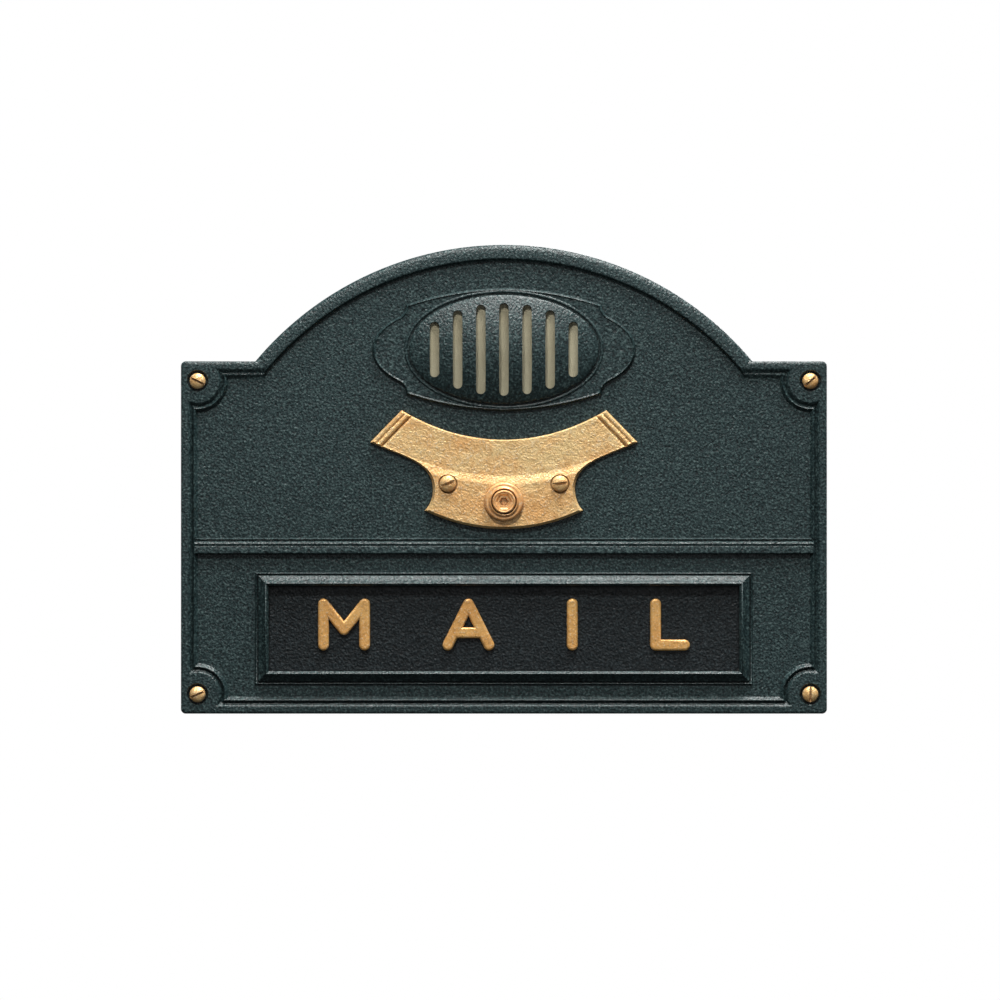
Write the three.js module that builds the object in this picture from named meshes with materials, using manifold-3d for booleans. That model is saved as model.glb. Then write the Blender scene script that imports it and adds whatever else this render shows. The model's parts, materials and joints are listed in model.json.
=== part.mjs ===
// Through-wall letter box: a cast front plate with a slot flap, a bell push and a speaker grille,
// on a sheet-steel body with a locked rear door.
// Millimetres. +X is to the right seen from the street, +Y goes into the wall, +Z is up.
// The origin is on the wall's face, at the middle of the front plate's bottom edge.
import * as THREE from 'three';
import { mergeVertices } from 'three/addons/utils/BufferGeometryUtils.js';
import Module from 'manifold-3d';

const wasm = await Module();
wasm.setup();

// ---------------------------------------------------------------- driving dimensions

const fit = { loose: 0.3, hole: 0.3, running: 0.25 };
const sheet = 1.2;
const past = 1; // how far a cut runs past the face that it opens
const hair = 0.01; // the least such overrun, where the cut's own shape must not move
const gasket = { thickness: 2, inset: 3 };

const plate = { width: 330, thickness: 4, corner: 2.5, leastCorner: 0.5, shoulder: 38, archRise: 59.5 };
const border = { width: 6.5, rise: 2 };
const lobe = { radius: 12.8, inset: 8.5, foot: 9.9, head: 10.1, sink: 1.2, ring: 0.8 };
const slot = { width: 240.4, height: 43.6, sill: 21.7, lip: 5 };
const frame = { width: 6, crest: 1.2, step: 1.4, rise: 4.8 };
const moulding = { gap: 10.4, height: 8.1, endInset: 1 };

const grille = {
  halfWidth: 49, halfHeight: 28.5, dome: 8, rim: 1, wall: 2.2, footAboveBell: 49.2, crown: 25, mouthInset: 5,
};
const sound = { slots: 7, width: 4.8, pitch: 11.8, margin: 4.8, rimLeft: 0.5 };
const clothThickness = 0.6;
const grilleScrew = {
  offset: 43.4, boss: 2.6, bossWall: 1.2, bossLength: 5, shank: 1.2, head: 2.6, headHeight: 2, length: 5,
};
const cartouche = {
  overGrille: { side: 1, top: 3.2, corner: -6 }, ear: { reach: 17.3, half: 13.5, notch: 5, bend: 1 }, rise: 1,
};

const bell = { aboveMoulding: 18.5, ring: 9.85, barrel: 8.2, bore: 6.3, wall: 1.2, button: 6, travel: 2 };
const rosette = {
  lip: 0.8, lipRise: 3, crestRise: 3.4, valley: 1.5, valleyRise: 2.4, bead: 0.9, beadRise: 2.6,
};
const button = {
  rise: 4.3, dish: 1.5, rim: 1.8, crown: 1, shoulder: 0.3, bevel: 0.1, flange: 0.4, flangeThickness: 1.5,
  stem: 2, stemGap: 0.5,
};
const bellNut = { radius: 11, thickness: 3 };
const bellSpring = { wire: 0.4, coil: 4.2, turns: 5, seat: 0.7 };
const bellSwitch = { front: 1, radius: 8, length: 8, well: 2.4 };
const terminal = { offset: 4, thickness: 0.8, width: 4.8, length: 7 };

const namePlate = { thickness: 3, bevel: 0.8, screwOffset: 28.6, screwRise: 9.2 };
const namePlateScrew = { head: 4.45, headHeight: 2.4, shank: 2, overrun: 4, nut: 3.9, nutThickness: 3.2 };
const cornerScrew = { head: 4.4, headHeight: 2.9, shank: 2.25, length: 38 };
const wallPlug = { radius: 4, collar: 5, collarThickness: 0.9, taper: 0.2, length: 34, tip: 3 };

const flap = { overlap: 2.5, thickness: 2.5, endGap: 1.3, topRise: 3.3, headRoom: 0.8 };
const hingePin = { radius: 1.5, behindPlate: 2.6, aboveSlot: 2.1, overrun: 2.4 };
const pinLug = { width: 6, gap: 0.7, half: 4.4, behindPin: 3, root: 0.5 };
const clip = { radius: 3.4, thickness: 0.8, mouth: 1.6, room: 0.6 };
const knuckle = { radius: 2.8, root: 0.5 };
const flapSpring = { wire: 0.4, coil: 2.6, turns: 5.5, length: 11, offset: 78, leg: 12, legGap: 0.7 };
const letter = { height: 26.6, stroke: 5.6, thickness: 2.2, rowWidth: 190, raise: 2 };

const box = { sideMargin: 18.6, sill: 10, overMoulding: 0.2, depth: 220, rearLip: 12, flangeInset: 2 };
const ramp = { thickness: 1, front: 17, rear: 13, frontSet: 3, rearSet: 8, sideGap: 1.5 };
const housing = { sideMargin: 17, topMargin: 1, wall: 2, depth: 45, ear: 6.4, earDrop: 20, floorGap: 2 };
const housingScrew = { head: 2.8, headHeight: 1.8, shank: 1.3, overrun: 1 };
const grommet = { offset: 45, rise: 14, bore: 2.6, neck: 5, rim: 7, reach: 3, backReach: 3.4, bevel: 0.4 };
const speaker = {
  edge: 1.5, flange: 1.5, flangeReach: 4, mouthReach: -6, mouthDrop: 4, wall: 1, depth: 15, throat: 14,
  magnet: 13, magnetDepth: 10,
};
const cone = { sideGap: 2, topGap: 1.5, throatGap: 3, front: 0.5, wall: 1, bottomWall: 0.8, short: 3 };
const board = { width: 60, height: 40, thickness: 1.6, standoff: 5.4, post: 3, postInset: 5, rise: 42 };
const terminalBlock = { width: 30, height: 12, depth: 9 };

const door = { rim: 8, gap: 1, sideGap: 0.4, gasket: 1.5, gasketInset: 1, hingeClearance: 18 };
const rearHinge = {
  leaf: 1, leafLength: 14, barrel: 2.4, pin: 1.2, pinOverrun: 1, knuckles: 5, gap: 0.5, height: 62,
  outboard: 2.6, behindDoor: 0.5,
};
const lock = {
  inset: 26.8, barrel: 8, head: 9.5, headHeight: 2.5, bevel: 0.7, length: 16, nut: 3, nutWall: 3, rotor: 5.3,
  keyWidth: 1.6, keyHeight: 6.4, keyDepth: 8,
};
const cam = {
  thickness: 2, width: 13, hub: 7, bend: 2, slope: 5, bendInside: 1, reach: 25, crank: 11, tail: 5, tailShort: 0.2,
};
const camScrew = { head: 4, headHeight: 2.2, shank: 1.5, length: 5, bore: 6 };

// ---------------------------------------------------------------- places worked out from them

const halfPlate = plate.width / 2;
const halfSlot = slot.width / 2;
const slotTop = slot.sill + slot.height;
const slotMiddle = slot.sill + slot.height / 2;
const mouldingFoot = slotTop + frame.width + moulding.gap;
const mouldingTop = mouldingFoot + moulding.height;
const bellZ = mouldingTop + bell.aboveMoulding;
const grilleZ = bellZ + grille.footAboveBell + grille.halfHeight;
const plateTop = grilleZ + grille.halfHeight + grille.crown;
const shoulderZ = plateTop - plate.archRise;
const archHalf = halfPlate - plate.shoulder;
const archRadius = (archHalf ** 2 + plate.archRise ** 2) / (2 * plate.archRise);
const archZ = plateTop - archRadius;
const screwX = halfPlate - lobe.inset;
const screwRows = [lobe.foot, shoulderZ - lobe.head];

const plateBack = -(sheet + gasket.thickness);
const fieldY = plateBack - plate.thickness;
const borderY = fieldY - border.rise;
const crestY = fieldY - frame.rise;
const cartoucheY = fieldY - cartouche.rise;
const namePlateY = fieldY - namePlate.thickness;
const rosetteSeatY = namePlateY + bell.wall;

const pocketHalf = halfSlot + flap.overlap + flap.endGap;
const pocketFront = crestY + slot.lip;
const flapY = pocketFront + fit.loose;
const flapBackY = flapY + flap.thickness;
const pinY = plateBack + hingePin.behindPlate;
const pinZ = slotTop + hingePin.aboveSlot;
const lugStart = pocketHalf + pinLug.gap;
const lugEnd = lugStart + pinLug.width;

const boxHalf = halfSlot + box.sideMargin;
const boxTop = mouldingTop + box.overMoulding;
const boxMiddle = (box.sill + boxTop) / 2;
const housingHalf = grille.halfWidth + housing.sideMargin;
const housingFoot = boxTop + housing.floorGap;
const housingTop = grilleZ + grille.halfHeight + housing.topMargin;
const boardY = housing.depth - housing.wall - board.standoff - board.thickness;
const boardZ = housingFoot + housing.wall + board.rise;
const grommetZ = housingFoot + housing.wall + grommet.rise;

const gasketBack = box.depth + door.gasket;
const doorY = gasketBack + fit.loose;
const doorBack = doorY + sheet;
const doorHalf = boxHalf + sheet - door.sideGap;
const rearPin = { x: -boxHalf - sheet - rearHinge.outboard, y: doorBack + rearHinge.behindDoor };
const lockX = boxHalf - lock.inset;
const barrelEnd = doorBack - lock.length;
const camY = barrelEnd - fit.loose - cam.thickness;
const tailEnd = camY + cam.tailShort;

// ---------------------------------------------------------------- solids

// Makes a manifold solid of a closed three.js geometry.
function solid(geometry) {
  geometry.deleteAttribute('normal');
  geometry.deleteAttribute('uv');
  const merged = mergeVertices(geometry);
  const index = merged.index.array;
  const faces = [];
  for (let i = 0; i < index.length; i += 3) {
    const [a, b, c] = [index[i], index[i + 1], index[i + 2]];
    if (a !== b && b !== c && c !== a) faces.push(a, b, c);
  }
  const vertProperties = merged.attributes.position.array;
  return new wasm.Manifold(new wasm.Mesh({ numProp: 3, vertProperties, triVerts: new Uint32Array(faces) }));
}

function geometryOf(shape) {
  const mesh = shape.getMesh();
  const geometry = new THREE.BufferGeometry();
  geometry.setAttribute('position', new THREE.BufferAttribute(mesh.vertProperties, 3));
  geometry.setIndex(new THREE.BufferAttribute(mesh.triVerts, 1));
  geometry.computeVertexNormals();
  return geometry;
}

const joined = (first, ...others) => others.reduce((sum, other) => sum.add(other), first);
const cut = (first, ...others) => others.reduce((rest, other) => rest.subtract(other), first);
const both = (make) => [-1, 1].map(make);
const rising = (values) => values.sort((a, b) => a - b);

// A box between two values on each axis.
function block([x0, x1], [y0, y1], [z0, z1]) {
  const geometry = new THREE.BoxGeometry(x1 - x0, y1 - y0, z1 - z0);
  return solid(geometry.translate((x0 + x1) / 2, (y0 + y1) / 2, (z0 + z1) / 2));
}

// A shape drawn in X and Z, filled from the front face to the back face along Y.
function slab(shape, front, back, curveSegments = 12) {
  const depth = back - front;
  const geometry = new THREE.ExtrudeGeometry(shape, { depth, bevelEnabled: false, curveSegments });
  return solid(geometry.rotateX(Math.PI / 2).translate(0, back, 0));
}

// The same with a chamfer around its front face.
function chamfered(shape, front, back, { deep, wide, curveSegments = 12 }) {
  const geometry = new THREE.ExtrudeGeometry(shape, {
    depth: back - front,
    bevelThickness: deep,
    bevelSize: wide,
    bevelOffset: -wide,
    bevelSegments: 1,
    curveSegments,
  });
  const body = solid(geometry.rotateX(Math.PI / 2).translate(0, back + deep, 0));
  return body.trimByPlane([0, -1, 0], -back);
}

// A profile of [radius, y] points turned about the Y axis.
function turned(profile, segments = 24) {
  const points = profile.map(([radius, y]) => new THREE.Vector2(radius, y));
  if (THREE.ShapeUtils.area(points) < 0) points.reverse();
  if (points[0].x > 0 || points[points.length - 1].x > 0) points.push(points[0].clone());
  return solid(new THREE.LatheGeometry(points, segments));
}

const disc = (radius, front, back, segments = 24) =>
  turned([[0, front], [radius, front], [radius, back], [0, back]], segments);

// A solid that tapers along Y from one oval to another.
function taper([frontX, frontZ], [backX, backZ], front, back) {
  const profile = [[0, front], [1, front], [1, back], [0, back]].map(([r, y]) => new THREE.Vector2(r, y));
  const geometry = new THREE.LatheGeometry(profile, 24);
  const place = geometry.attributes.position;
  for (let index = 0; index < place.count; index += 1) {
    const atBack = place.getY(index) > (front + back) / 2;
    place.setX(index, place.getX(index) * (atBack ? backX : frontX));
    place.setZ(index, place.getZ(index) * (atBack ? backZ : frontZ));
  }
  return solid(geometry);
}

// A rod along X or Z through a point.
function rodX(radius, [x0, x1], y, z, segments = 14) {
  const geometry = new THREE.CylinderGeometry(radius, radius, x1 - x0, segments);
  return solid(geometry.rotateZ(Math.PI / 2).translate((x0 + x1) / 2, y, z));
}
function rodZ(radius, x, y, [z0, z1], segments = 12) {
  const geometry = new THREE.CylinderGeometry(radius, radius, z1 - z0, segments);
  return solid(geometry.rotateX(Math.PI / 2).translate(x, y, (z0 + z1) / 2));
}

// A wire along a list of points.
function wire(points, radius, steps) {
  const round = new THREE.Shape().absarc(0, 0, radius, 0, 2 * Math.PI);
  const extrudePath = new THREE.CatmullRomCurve3(points);
  return solid(new THREE.ExtrudeGeometry(round, { steps, extrudePath, curveSegments: 2 }));
}

// ---------------------------------------------------------------- outlines in X and Z

function rectangle([x0, x1], [z0, z1]) {
  return new THREE.Shape().moveTo(x0, z0).lineTo(x1, z0).lineTo(x1, z1).lineTo(x0, z1).closePath();
}

function oval(halfWidth, halfHeight) {
  return new THREE.Shape().absellipse(0, 0, halfWidth, halfHeight, 0, 2 * Math.PI);
}

// A straight stroke with round ends between two points.
function stroke([x0, z0], [x1, z1], width) {
  const along = Math.atan2(z1 - z0, x1 - x0);
  const quarter = Math.PI / 2;
  const shape = new THREE.Shape().absarc(x0, z0, width / 2, along + quarter, along + 3 * quarter);
  return shape.absarc(x1, z1, width / 2, along - quarter, along + quarter).closePath();
}

// The plate's outline, moved inwards: square shoulders with nipped corners under a round arch.
function plateOutline(inset) {
  const half = halfPlate - inset;
  const shoulder = shoulderZ - inset;
  const radius = archRadius - inset;
  const start = Math.asin((shoulder - archZ) / radius);
  const nip = Math.max(plate.corner - inset, plate.leastCorner);
  return new THREE.Shape()
    .moveTo(-half + nip, inset)
    .lineTo(half - nip, inset)
    .lineTo(half, inset + nip)
    .lineTo(half, shoulder - nip)
    .lineTo(half - nip, shoulder)
    .absarc(0, archZ, radius, start, Math.PI - start)
    .lineTo(-half + nip, shoulder)
    .lineTo(-half, shoulder - nip)
    .lineTo(-half, inset + nip)
    .closePath();
}

// The shield behind the grille: an arc above and below, and a rounded ear on each side.
function cartoucheOutline() {
  const { overGrille, ear } = cartouche;
  const shoulder = grille.halfWidth + overGrille.side;
  const corner = grille.halfHeight + overGrille.corner;
  const arch = 2 * (grille.halfHeight + overGrille.top) - corner;
  const notch = shoulder + ear.notch;
  const tip = shoulder + ear.reach;
  const bend = shoulder + ear.bend;
  const shape = new THREE.Shape().moveTo(-shoulder, -corner);
  shape.quadraticCurveTo(0, -arch, shoulder, -corner);
  shape.quadraticCurveTo(bend, -ear.half, notch, -ear.half);
  shape.bezierCurveTo(tip, -ear.half, tip, ear.half, notch, ear.half);
  shape.quadraticCurveTo(bend, ear.half, shoulder, corner);
  shape.quadraticCurveTo(0, arch, -shoulder, corner);
  shape.quadraticCurveTo(-bend, ear.half, -notch, ear.half);
  shape.bezierCurveTo(-tip, ear.half, -tip, -ear.half, -notch, -ear.half);
  return shape.quadraticCurveTo(-bend, -ear.half, -shoulder, -corner);
}

// The brass name plate about the bell's centre: a scroll that hangs from two slanted tabs.
function namePlateOutline() {
  const horn = [52.3, 46.7];
  const tip = [68.3, 30.3];
  const heel = [61, 27.1];
  const curl = [50, 22.5];
  const throat = [36.8, 19];
  const waist = [36.3, 6.9];
  const hip = [36.3, -0.5];
  const foot = [40.5, -4.6];
  const dip = 16.6;
  const belly = -23.4;
  const mirrored = ([x, z]) => [-x, z];
  const shape = new THREE.Shape().moveTo(...mirrored(horn));
  shape.quadraticCurveTo(0, dip, ...horn);
  shape.lineTo(...tip).lineTo(...heel);
  shape.bezierCurveTo(...curl, ...throat, ...waist);
  shape.quadraticCurveTo(...hip, ...foot);
  shape.quadraticCurveTo(0, belly, ...mirrored(foot));
  shape.quadraticCurveTo(...mirrored(hip), ...mirrored(waist));
  shape.bezierCurveTo(...mirrored(throat), ...mirrored(curl), ...mirrored(heel));
  return shape.lineTo(...mirrored(tip)).closePath();
}

// ---------------------------------------------------------------- front plate

const archSegments = 16;

function frontPlate() {
  const rim = plateOutline(0);
  rim.holes.push(plateOutline(border.width));
  const halfFrame = halfSlot + frame.width;
  const halfMoulding = halfPlate - moulding.endInset;
  const frameOutline = rectangle([-halfFrame, halfFrame], [slot.sill - frame.width, slotTop + frame.width]);
  const slope = { deep: frame.rise - frame.step, wide: frame.width - frame.crest };
  const casting = joined(
    slab(plateOutline(0), fieldY, plateBack, archSegments),
    slab(rim, borderY, plateBack, archSegments),
    block([-halfMoulding, halfMoulding], [borderY, plateBack], [mouldingFoot, mouldingTop]),
    chamfered(frameOutline, crestY, plateBack, slope),
    slab(cartoucheOutline(), cartoucheY, plateBack).translate(0, 0, grilleZ),
    cornerLobes(),
    ...both(pinLugBlock),
  );
  return cut(casting, slotOpening(), pinHole(), grilleOpening(), ...screwHoles());
}

function cornerPlaces() {
  return screwRows.flatMap((z) => both((side) => [side * screwX, z]));
}

function cornerLobes() {
  const outline = slab(plateOutline(0), borderY, plateBack, archSegments);
  const lobes = cornerPlaces().map(([x, z]) => disc(lobe.radius, borderY, plateBack, 20).translate(x, 0, z));
  return joined(...lobes).intersect(outline);
}

// The aperture in front, and behind it the wider pocket that the closed flap lies in.
function slotOpening() {
  const foot = slot.sill - flap.overlap - flap.endGap;
  const head = pinZ + knuckle.radius + flap.headRoom;
  const aperture = block([-halfSlot, halfSlot], [crestY - past, 0], [slot.sill, slotTop]);
  const pocket = block([-pocketHalf, pocketHalf], [pocketFront, 0], [foot, head]);
  const clipRooms = both((side) => block(
    rising([side * lugEnd, side * (lugEnd + hingePin.overrun)]),
    [pinY - clip.radius - clip.room, 0],
    [pinZ - pinLug.half, pinZ + pinLug.half],
  ));
  return joined(aperture, pocket, ...clipRooms);
}

function pinLugBlock(side) {
  const reach = rising([side * lugStart, side * lugEnd]);
  const deep = [plateBack - pinLug.root, pinY + pinLug.behindPin];
  return block(reach, deep, [pinZ - pinLug.half, pinZ + pinLug.half]);
}

function pinHole() {
  return rodX(hingePin.radius + fit.running, [-lugEnd - past, lugEnd + past], pinY, pinZ);
}

function grilleOpening() {
  const halfWidth = grilleScrew.offset - grilleScrew.boss - grilleScrew.bossWall;
  const mouth = oval(halfWidth, grille.halfHeight - grille.mouthInset);
  return slab(mouth, crestY, 0).translate(0, 0, grilleZ);
}

function screwHoles() {
  const hole = (radius, x, z) => disc(radius, crestY - past, past, 14).translate(x, 0, z);
  const sunkRadius = cornerScrew.head + lobe.ring;
  const sunk = (x, z) => disc(sunkRadius, borderY - past, borderY + lobe.sink, 18).translate(x, 0, z);
  const nameHoleZ = bellZ + namePlate.screwRise;
  return [
    ...cornerPlaces().flatMap(([x, z]) => [hole(cornerScrew.shank + fit.hole, x, z), sunk(x, z)]),
    ...both((side) => hole(grilleScrew.boss + fit.hole, side * grilleScrew.offset, grilleZ)),
    ...both((side) => hole(namePlateScrew.shank + fit.hole, side * namePlate.screwOffset, nameHoleZ)),
    hole(bell.barrel + fit.hole, 0, bellZ),
  ];
}

// ---------------------------------------------------------------- screws and plugs

// A domed slotted head in front of y = 0 with its shank behind it.
function slottedScrew({ head, headHeight, shank, length }, slotWidth = 1.1, segments = 14) {
  const edgeShare = 0.35;
  const grooveShare = 0.4;
  const crown = [0.5, 0.85, 1].map((share) => {
    const rise = edgeShare + (1 - edgeShare) * Math.sqrt(1 - share ** 2);
    return [head * share, -headHeight * rise];
  });
  const profile = [[0, -headHeight], ...crown, [head, 0], [shank, 0], [shank, length], [0, length]];
  const grooveFoot = -headHeight * (1 - grooveShare);
  const groove = block([-head, head], [-headHeight - past, grooveFoot], [-slotWidth / 2, slotWidth / 2]);
  return cut(turned(profile, segments), groove);
}

function hexagonNut(radius, bore, front, back) {
  return cut(disc(radius, front, back, 6), disc(bore, front - past, back + past, 16));
}

function wallPlugBody() {
  const { radius, collar, collarThickness, taper: slope, length, tip } = wallPlug;
  const collarBack = fit.loose + collarThickness;
  const outside = turned([
    [0, fit.loose], [collar, fit.loose], [collar, collarBack], [radius, collarBack + slope], [radius, length],
    [0, length],
  ], 16);
  return cut(outside, disc(cornerScrew.shank + fit.hole, 0, length - tip, 12));
}

// ---------------------------------------------------------------- grille and speaker

// A domed oval cap on y = 0 whose rim has the given half sizes.
function dome(halfWidth, halfHeight, height, steps = 4, segments = 28) {
  const profile = [[0, 0], [1, 0]];
  for (let step = 0; step <= steps; step += 1) {
    const angle = (Math.PI / 2) * (step / steps);
    profile.push([Math.cos(angle), -grille.rim - (height - grille.rim) * Math.sin(angle)]);
  }
  profile[profile.length - 1][0] = 0;
  return turned(profile, segments).scale([halfWidth, 1, halfHeight]);
}

// The dome with an even wall, open at the back.
function hollowDome(halfWidth, halfHeight, height, wall, steps, segments) {
  const inside = dome(halfWidth - wall, halfHeight - wall, height - wall, steps, segments);
  return cut(dome(halfWidth, halfHeight, height, steps, segments), inside.translate(0, hair, 0));
}

function speakerGrille() {
  const { halfWidth, halfHeight, dome: height, wall } = grille;
  const { offset, boss, bossLength, shank } = grilleScrew;
  const middle = dome(halfWidth - wall / 2, halfHeight - wall / 2, height - wall / 2);
  const stubs = both((side) => {
    const post = disc(boss, -height, bossLength, 16).translate(side * offset, 0, 0);
    return joined(post.intersect(middle), post.trimByPlane([0, 1, 0], -grille.rim));
  });
  const bore = disc(shank + fit.hole, -past, bossLength + past, 12);
  const screws = both((side) => bore.translate(side * offset, 0, 0));
  const shell = hollowDome(halfWidth, halfHeight, height, wall);
  return cut(joined(shell, ...stubs), ...screws, ...soundSlots());
}

// Upright slots whose ends follow a smaller oval.
function soundSlots() {
  const half = (sound.slots - 1) / 2;
  const spanX = grille.halfWidth - sound.margin;
  const spanZ = grille.halfHeight - sound.margin;
  return Array.from({ length: sound.slots }, (_, index) => {
    const x = (index - half) * sound.pitch;
    const reach = spanZ * Math.sqrt(1 - (x / spanX) ** 2) - sound.width / 2;
    return slab(stroke([x, -reach], [x, reach], sound.width), -grille.dome - past, -sound.rimLeft, 2);
  });
}

function speakerCloth() {
  const behind = grille.wall + fit.loose;
  const halfWidth = grilleScrew.offset - grilleScrew.boss - fit.loose;
  return hollowDome(halfWidth, grille.halfHeight - behind, grille.dome - behind, clothThickness, 3, 20);
}

function speakerBasket() {
  const { edge, flange, flangeReach, mouthReach, mouthDrop, wall, depth, throat } = speaker;
  const halfHeight = grille.halfHeight - edge;
  const mouth = [grilleScrew.offset + mouthReach, halfHeight - mouthDrop];
  const thinner = (sizes) => sizes.map((half) => half - wall);
  const ring = slab(oval(grilleScrew.offset + flangeReach, halfHeight), 0, flange);
  const bowl = taper(mouth, [throat, throat], 0, depth);
  const inside = taper(thinner(mouth), thinner([throat, throat]), -hair, depth - wall);
  const holes = both((side) => disc(grilleScrew.shank + fit.hole, -past, flange + past, 10)
    .translate(side * grilleScrew.offset, 0, 0));
  return cut(joined(ring, bowl), inside, ...holes);
}

function speakerCone() {
  const { mouthReach, mouthDrop, wall, depth, edge } = speaker;
  const mouth = [
    grilleScrew.offset + mouthReach - wall - cone.sideGap,
    grille.halfHeight - edge - mouthDrop - wall - cone.topGap,
  ];
  const throat = [speaker.throat - cone.throatGap, speaker.throat - cone.throatGap];
  const bottom = depth - wall - cone.short;
  const outside = taper(mouth, throat, cone.front, bottom);
  const thinner = (sizes) => sizes.map((half) => half - cone.wall);
  const inside = taper(thinner(mouth), thinner(throat), cone.front - hair, bottom - cone.bottomWall);
  return cut(outside, inside);
}

// ---------------------------------------------------------------- bell push

function bellRosette() {
  const { ring, barrel, bore, wall } = bell;
  const { lip, lipRise, crestRise, valley, valleyRise, bead, beadRise } = rosette;
  const inner = barrel - wall;
  return turned([
    [bore, namePlateY - lipRise],
    [bore + lip, namePlateY - crestRise],
    [bore + valley, namePlateY - valleyRise],
    [ring - bead, namePlateY - beadRise], [ring, namePlateY - valleyRise + wall / 2], [ring, namePlateY],
    [barrel, namePlateY], [barrel, bellSwitch.front], [inner, bellSwitch.front], [inner, rosetteSeatY],
    [bore, rosetteSeatY],
  ], 20);
}

// A cap with a dished, six-sided hollow, a flange that the rosette holds in, and a stem behind it.
function bellButton() {
  const { rise, dish, rim, crown, shoulder, bevel, flange, flangeThickness, stem, stemGap } = button;
  const front = namePlateY - rise;
  const radius = bell.button;
  const seat = rosetteSeatY + fit.loose;
  const end = bell.travel + stemGap;
  const body = turned([
    [0, front + dish], [radius - rim, front + dish], [radius - rim + 2 * bevel, front + bevel],
    [radius - crown, front], [radius - shoulder, front + shoulder], [radius, front + crown], [radius, seat],
    [bell.bore + flange, seat], [bell.bore + flange, seat + flangeThickness], [stem, seat + flangeThickness],
    [stem, end], [0, end],
  ], 18);
  return cut(body, disc(radius - rim + bevel, front - past, front + dish + bevel, 6));
}

function bellReturnSpring() {
  const { wire: thin, coil, turns, seat } = bellSpring;
  const perTurn = 8;
  const start = rosetteSeatY + fit.loose + button.flangeThickness + seat;
  const length = bellSwitch.front - seat - start;
  const points = Array.from({ length: turns * perTurn + 1 }, (_, index) => {
    const angle = (index / perTurn) * 2 * Math.PI;
    const along = start + (length * index) / (turns * perTurn);
    return new THREE.Vector3(coil * Math.cos(angle), along, coil * Math.sin(angle));
  });
  return wire(points, thin, turns * perTurn);
}

function bellSwitchBody() {
  const { front, radius, length, well } = bellSwitch;
  const stemEnd = bell.travel + button.stemGap;
  return cut(disc(radius, front, front + length), disc(well, 0, stemEnd + bell.travel + past, 16));
}

// ---------------------------------------------------------------- flap

function mailFlap() {
  const side = halfSlot + flap.overlap;
  const foot = slot.sill - flap.overlap;
  const panel = block([-side, side], [flapY, flapBackY], [foot, slotTop + flap.topRise]);
  const [left, right] = both((sign) => {
    const middle = sign * flapSpring.offset;
    return [middle - flapSpring.length, middle + flapSpring.length];
  });
  const stretches = [[-side, left[0]], [left[1], right[0]], [right[1], side]];
  const barrels = stretches.map((reach) => joined(
    rodX(knuckle.radius, reach, pinY, pinZ),
    block(reach, [flapBackY - knuckle.root, pinY], [pinZ - knuckle.radius, pinZ + knuckle.radius]),
  ));
  const bore = rodX(hingePin.radius + fit.running, [-side - past, side + past], pinY, pinZ);
  return cut(joined(panel, ...barrels), bore);
}

// A torsion spring about the hinge pin: one leg leans on the plate above, the other on the flap below.
function flapReturnSpring() {
  const { wire: thin, coil, turns, length, leg, legGap } = flapSpring;
  const perTurn = 8;
  const count = turns * perTurn;
  const points = [new THREE.Vector3(-length / 2, plateBack + legGap, pinZ + leg)];
  for (let index = 0; index <= count; index += 1) {
    const angle = (index / perTurn) * 2 * Math.PI;
    const x = -length / 2 + (length * index) / count;
    points.push(new THREE.Vector3(x, pinY + coil * Math.cos(angle), pinZ + coil * Math.sin(angle)));
  }
  points.push(new THREE.Vector3(length / 2, flapBackY + thin + fit.loose, pinZ - leg));
  return wire(points, thin, count + 6);
}

// A C-shaped clip about the X axis, from x = 0.
function hingeClip() {
  const bore = hingePin.radius + fit.running;
  const ring = turned([[bore, 0], [clip.radius, 0], [clip.radius, clip.thickness], [bore, clip.thickness]], 20);
  const half = clip.mouth / 2;
  const mouth = block([-past, clip.thickness + past], [0, clip.radius + past], [-half, half]);
  return cut(ring.rotate([0, 0, -90]), mouth);
}

// Monoline capitals about their own centre; each glyph is a list of strokes.
function letterShapes() {
  const half = (letter.height - letter.stroke) / 2;
  const vee = -half * 0.25;
  const bar = [half * 0.62, -half * 0.4];
  const arm = half * 0.7;
  return {
    M: [[[-half, -half], [-half, half]], [[-half, half], [0, vee]], [[0, vee], [half, half]],
      [[half, half], [half, -half]]],
    A: [[[-half, -half], [0, half]], [[0, half], [half, -half]], [[-bar[0], bar[1]], bar]],
    I: [[[0, -half], [0, half]]],
    L: [[[-arm, half], [-arm, -half]], [[-arm, -half], [arm, -half]]],
  };
}

function letterSolid(strokes) {
  return joined(...strokes.map(([from, to]) => slab(stroke(from, to, letter.stroke), 0, letter.thickness, 3)));
}

// ---------------------------------------------------------------- body

function housingScrewPlaces() {
  return both((side) => [side * (housingHalf + housing.ear / 2), (housingFoot + housingTop) / 2]);
}

function flangeOpenings(front, back, housingScrewHole) {
  const upper = housingHalf - housing.wall;
  return [
    block([-boxHalf, boxHalf], [front, back], [box.sill + sheet, boxTop - sheet]),
    block([-upper, upper], [front, back], [housingFoot + housing.wall, housingTop - housing.wall]),
    ...cornerPlaces().map(([x, z]) => disc(cornerScrew.shank + fit.hole, front, back, 16).translate(x, 0, z)),
    ...housingScrewPlaces().map(([x, z]) => disc(housingScrewHole, front, back, 12).translate(x, 0, z)),
  ];
}

function plateGasket() {
  const outline = slab(plateOutline(gasket.inset), plateBack, -sheet, archSegments);
  return cut(outline, ...flangeOpenings(plateBack - past, past, housingScrew.shank + 2 * fit.hole));
}

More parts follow.
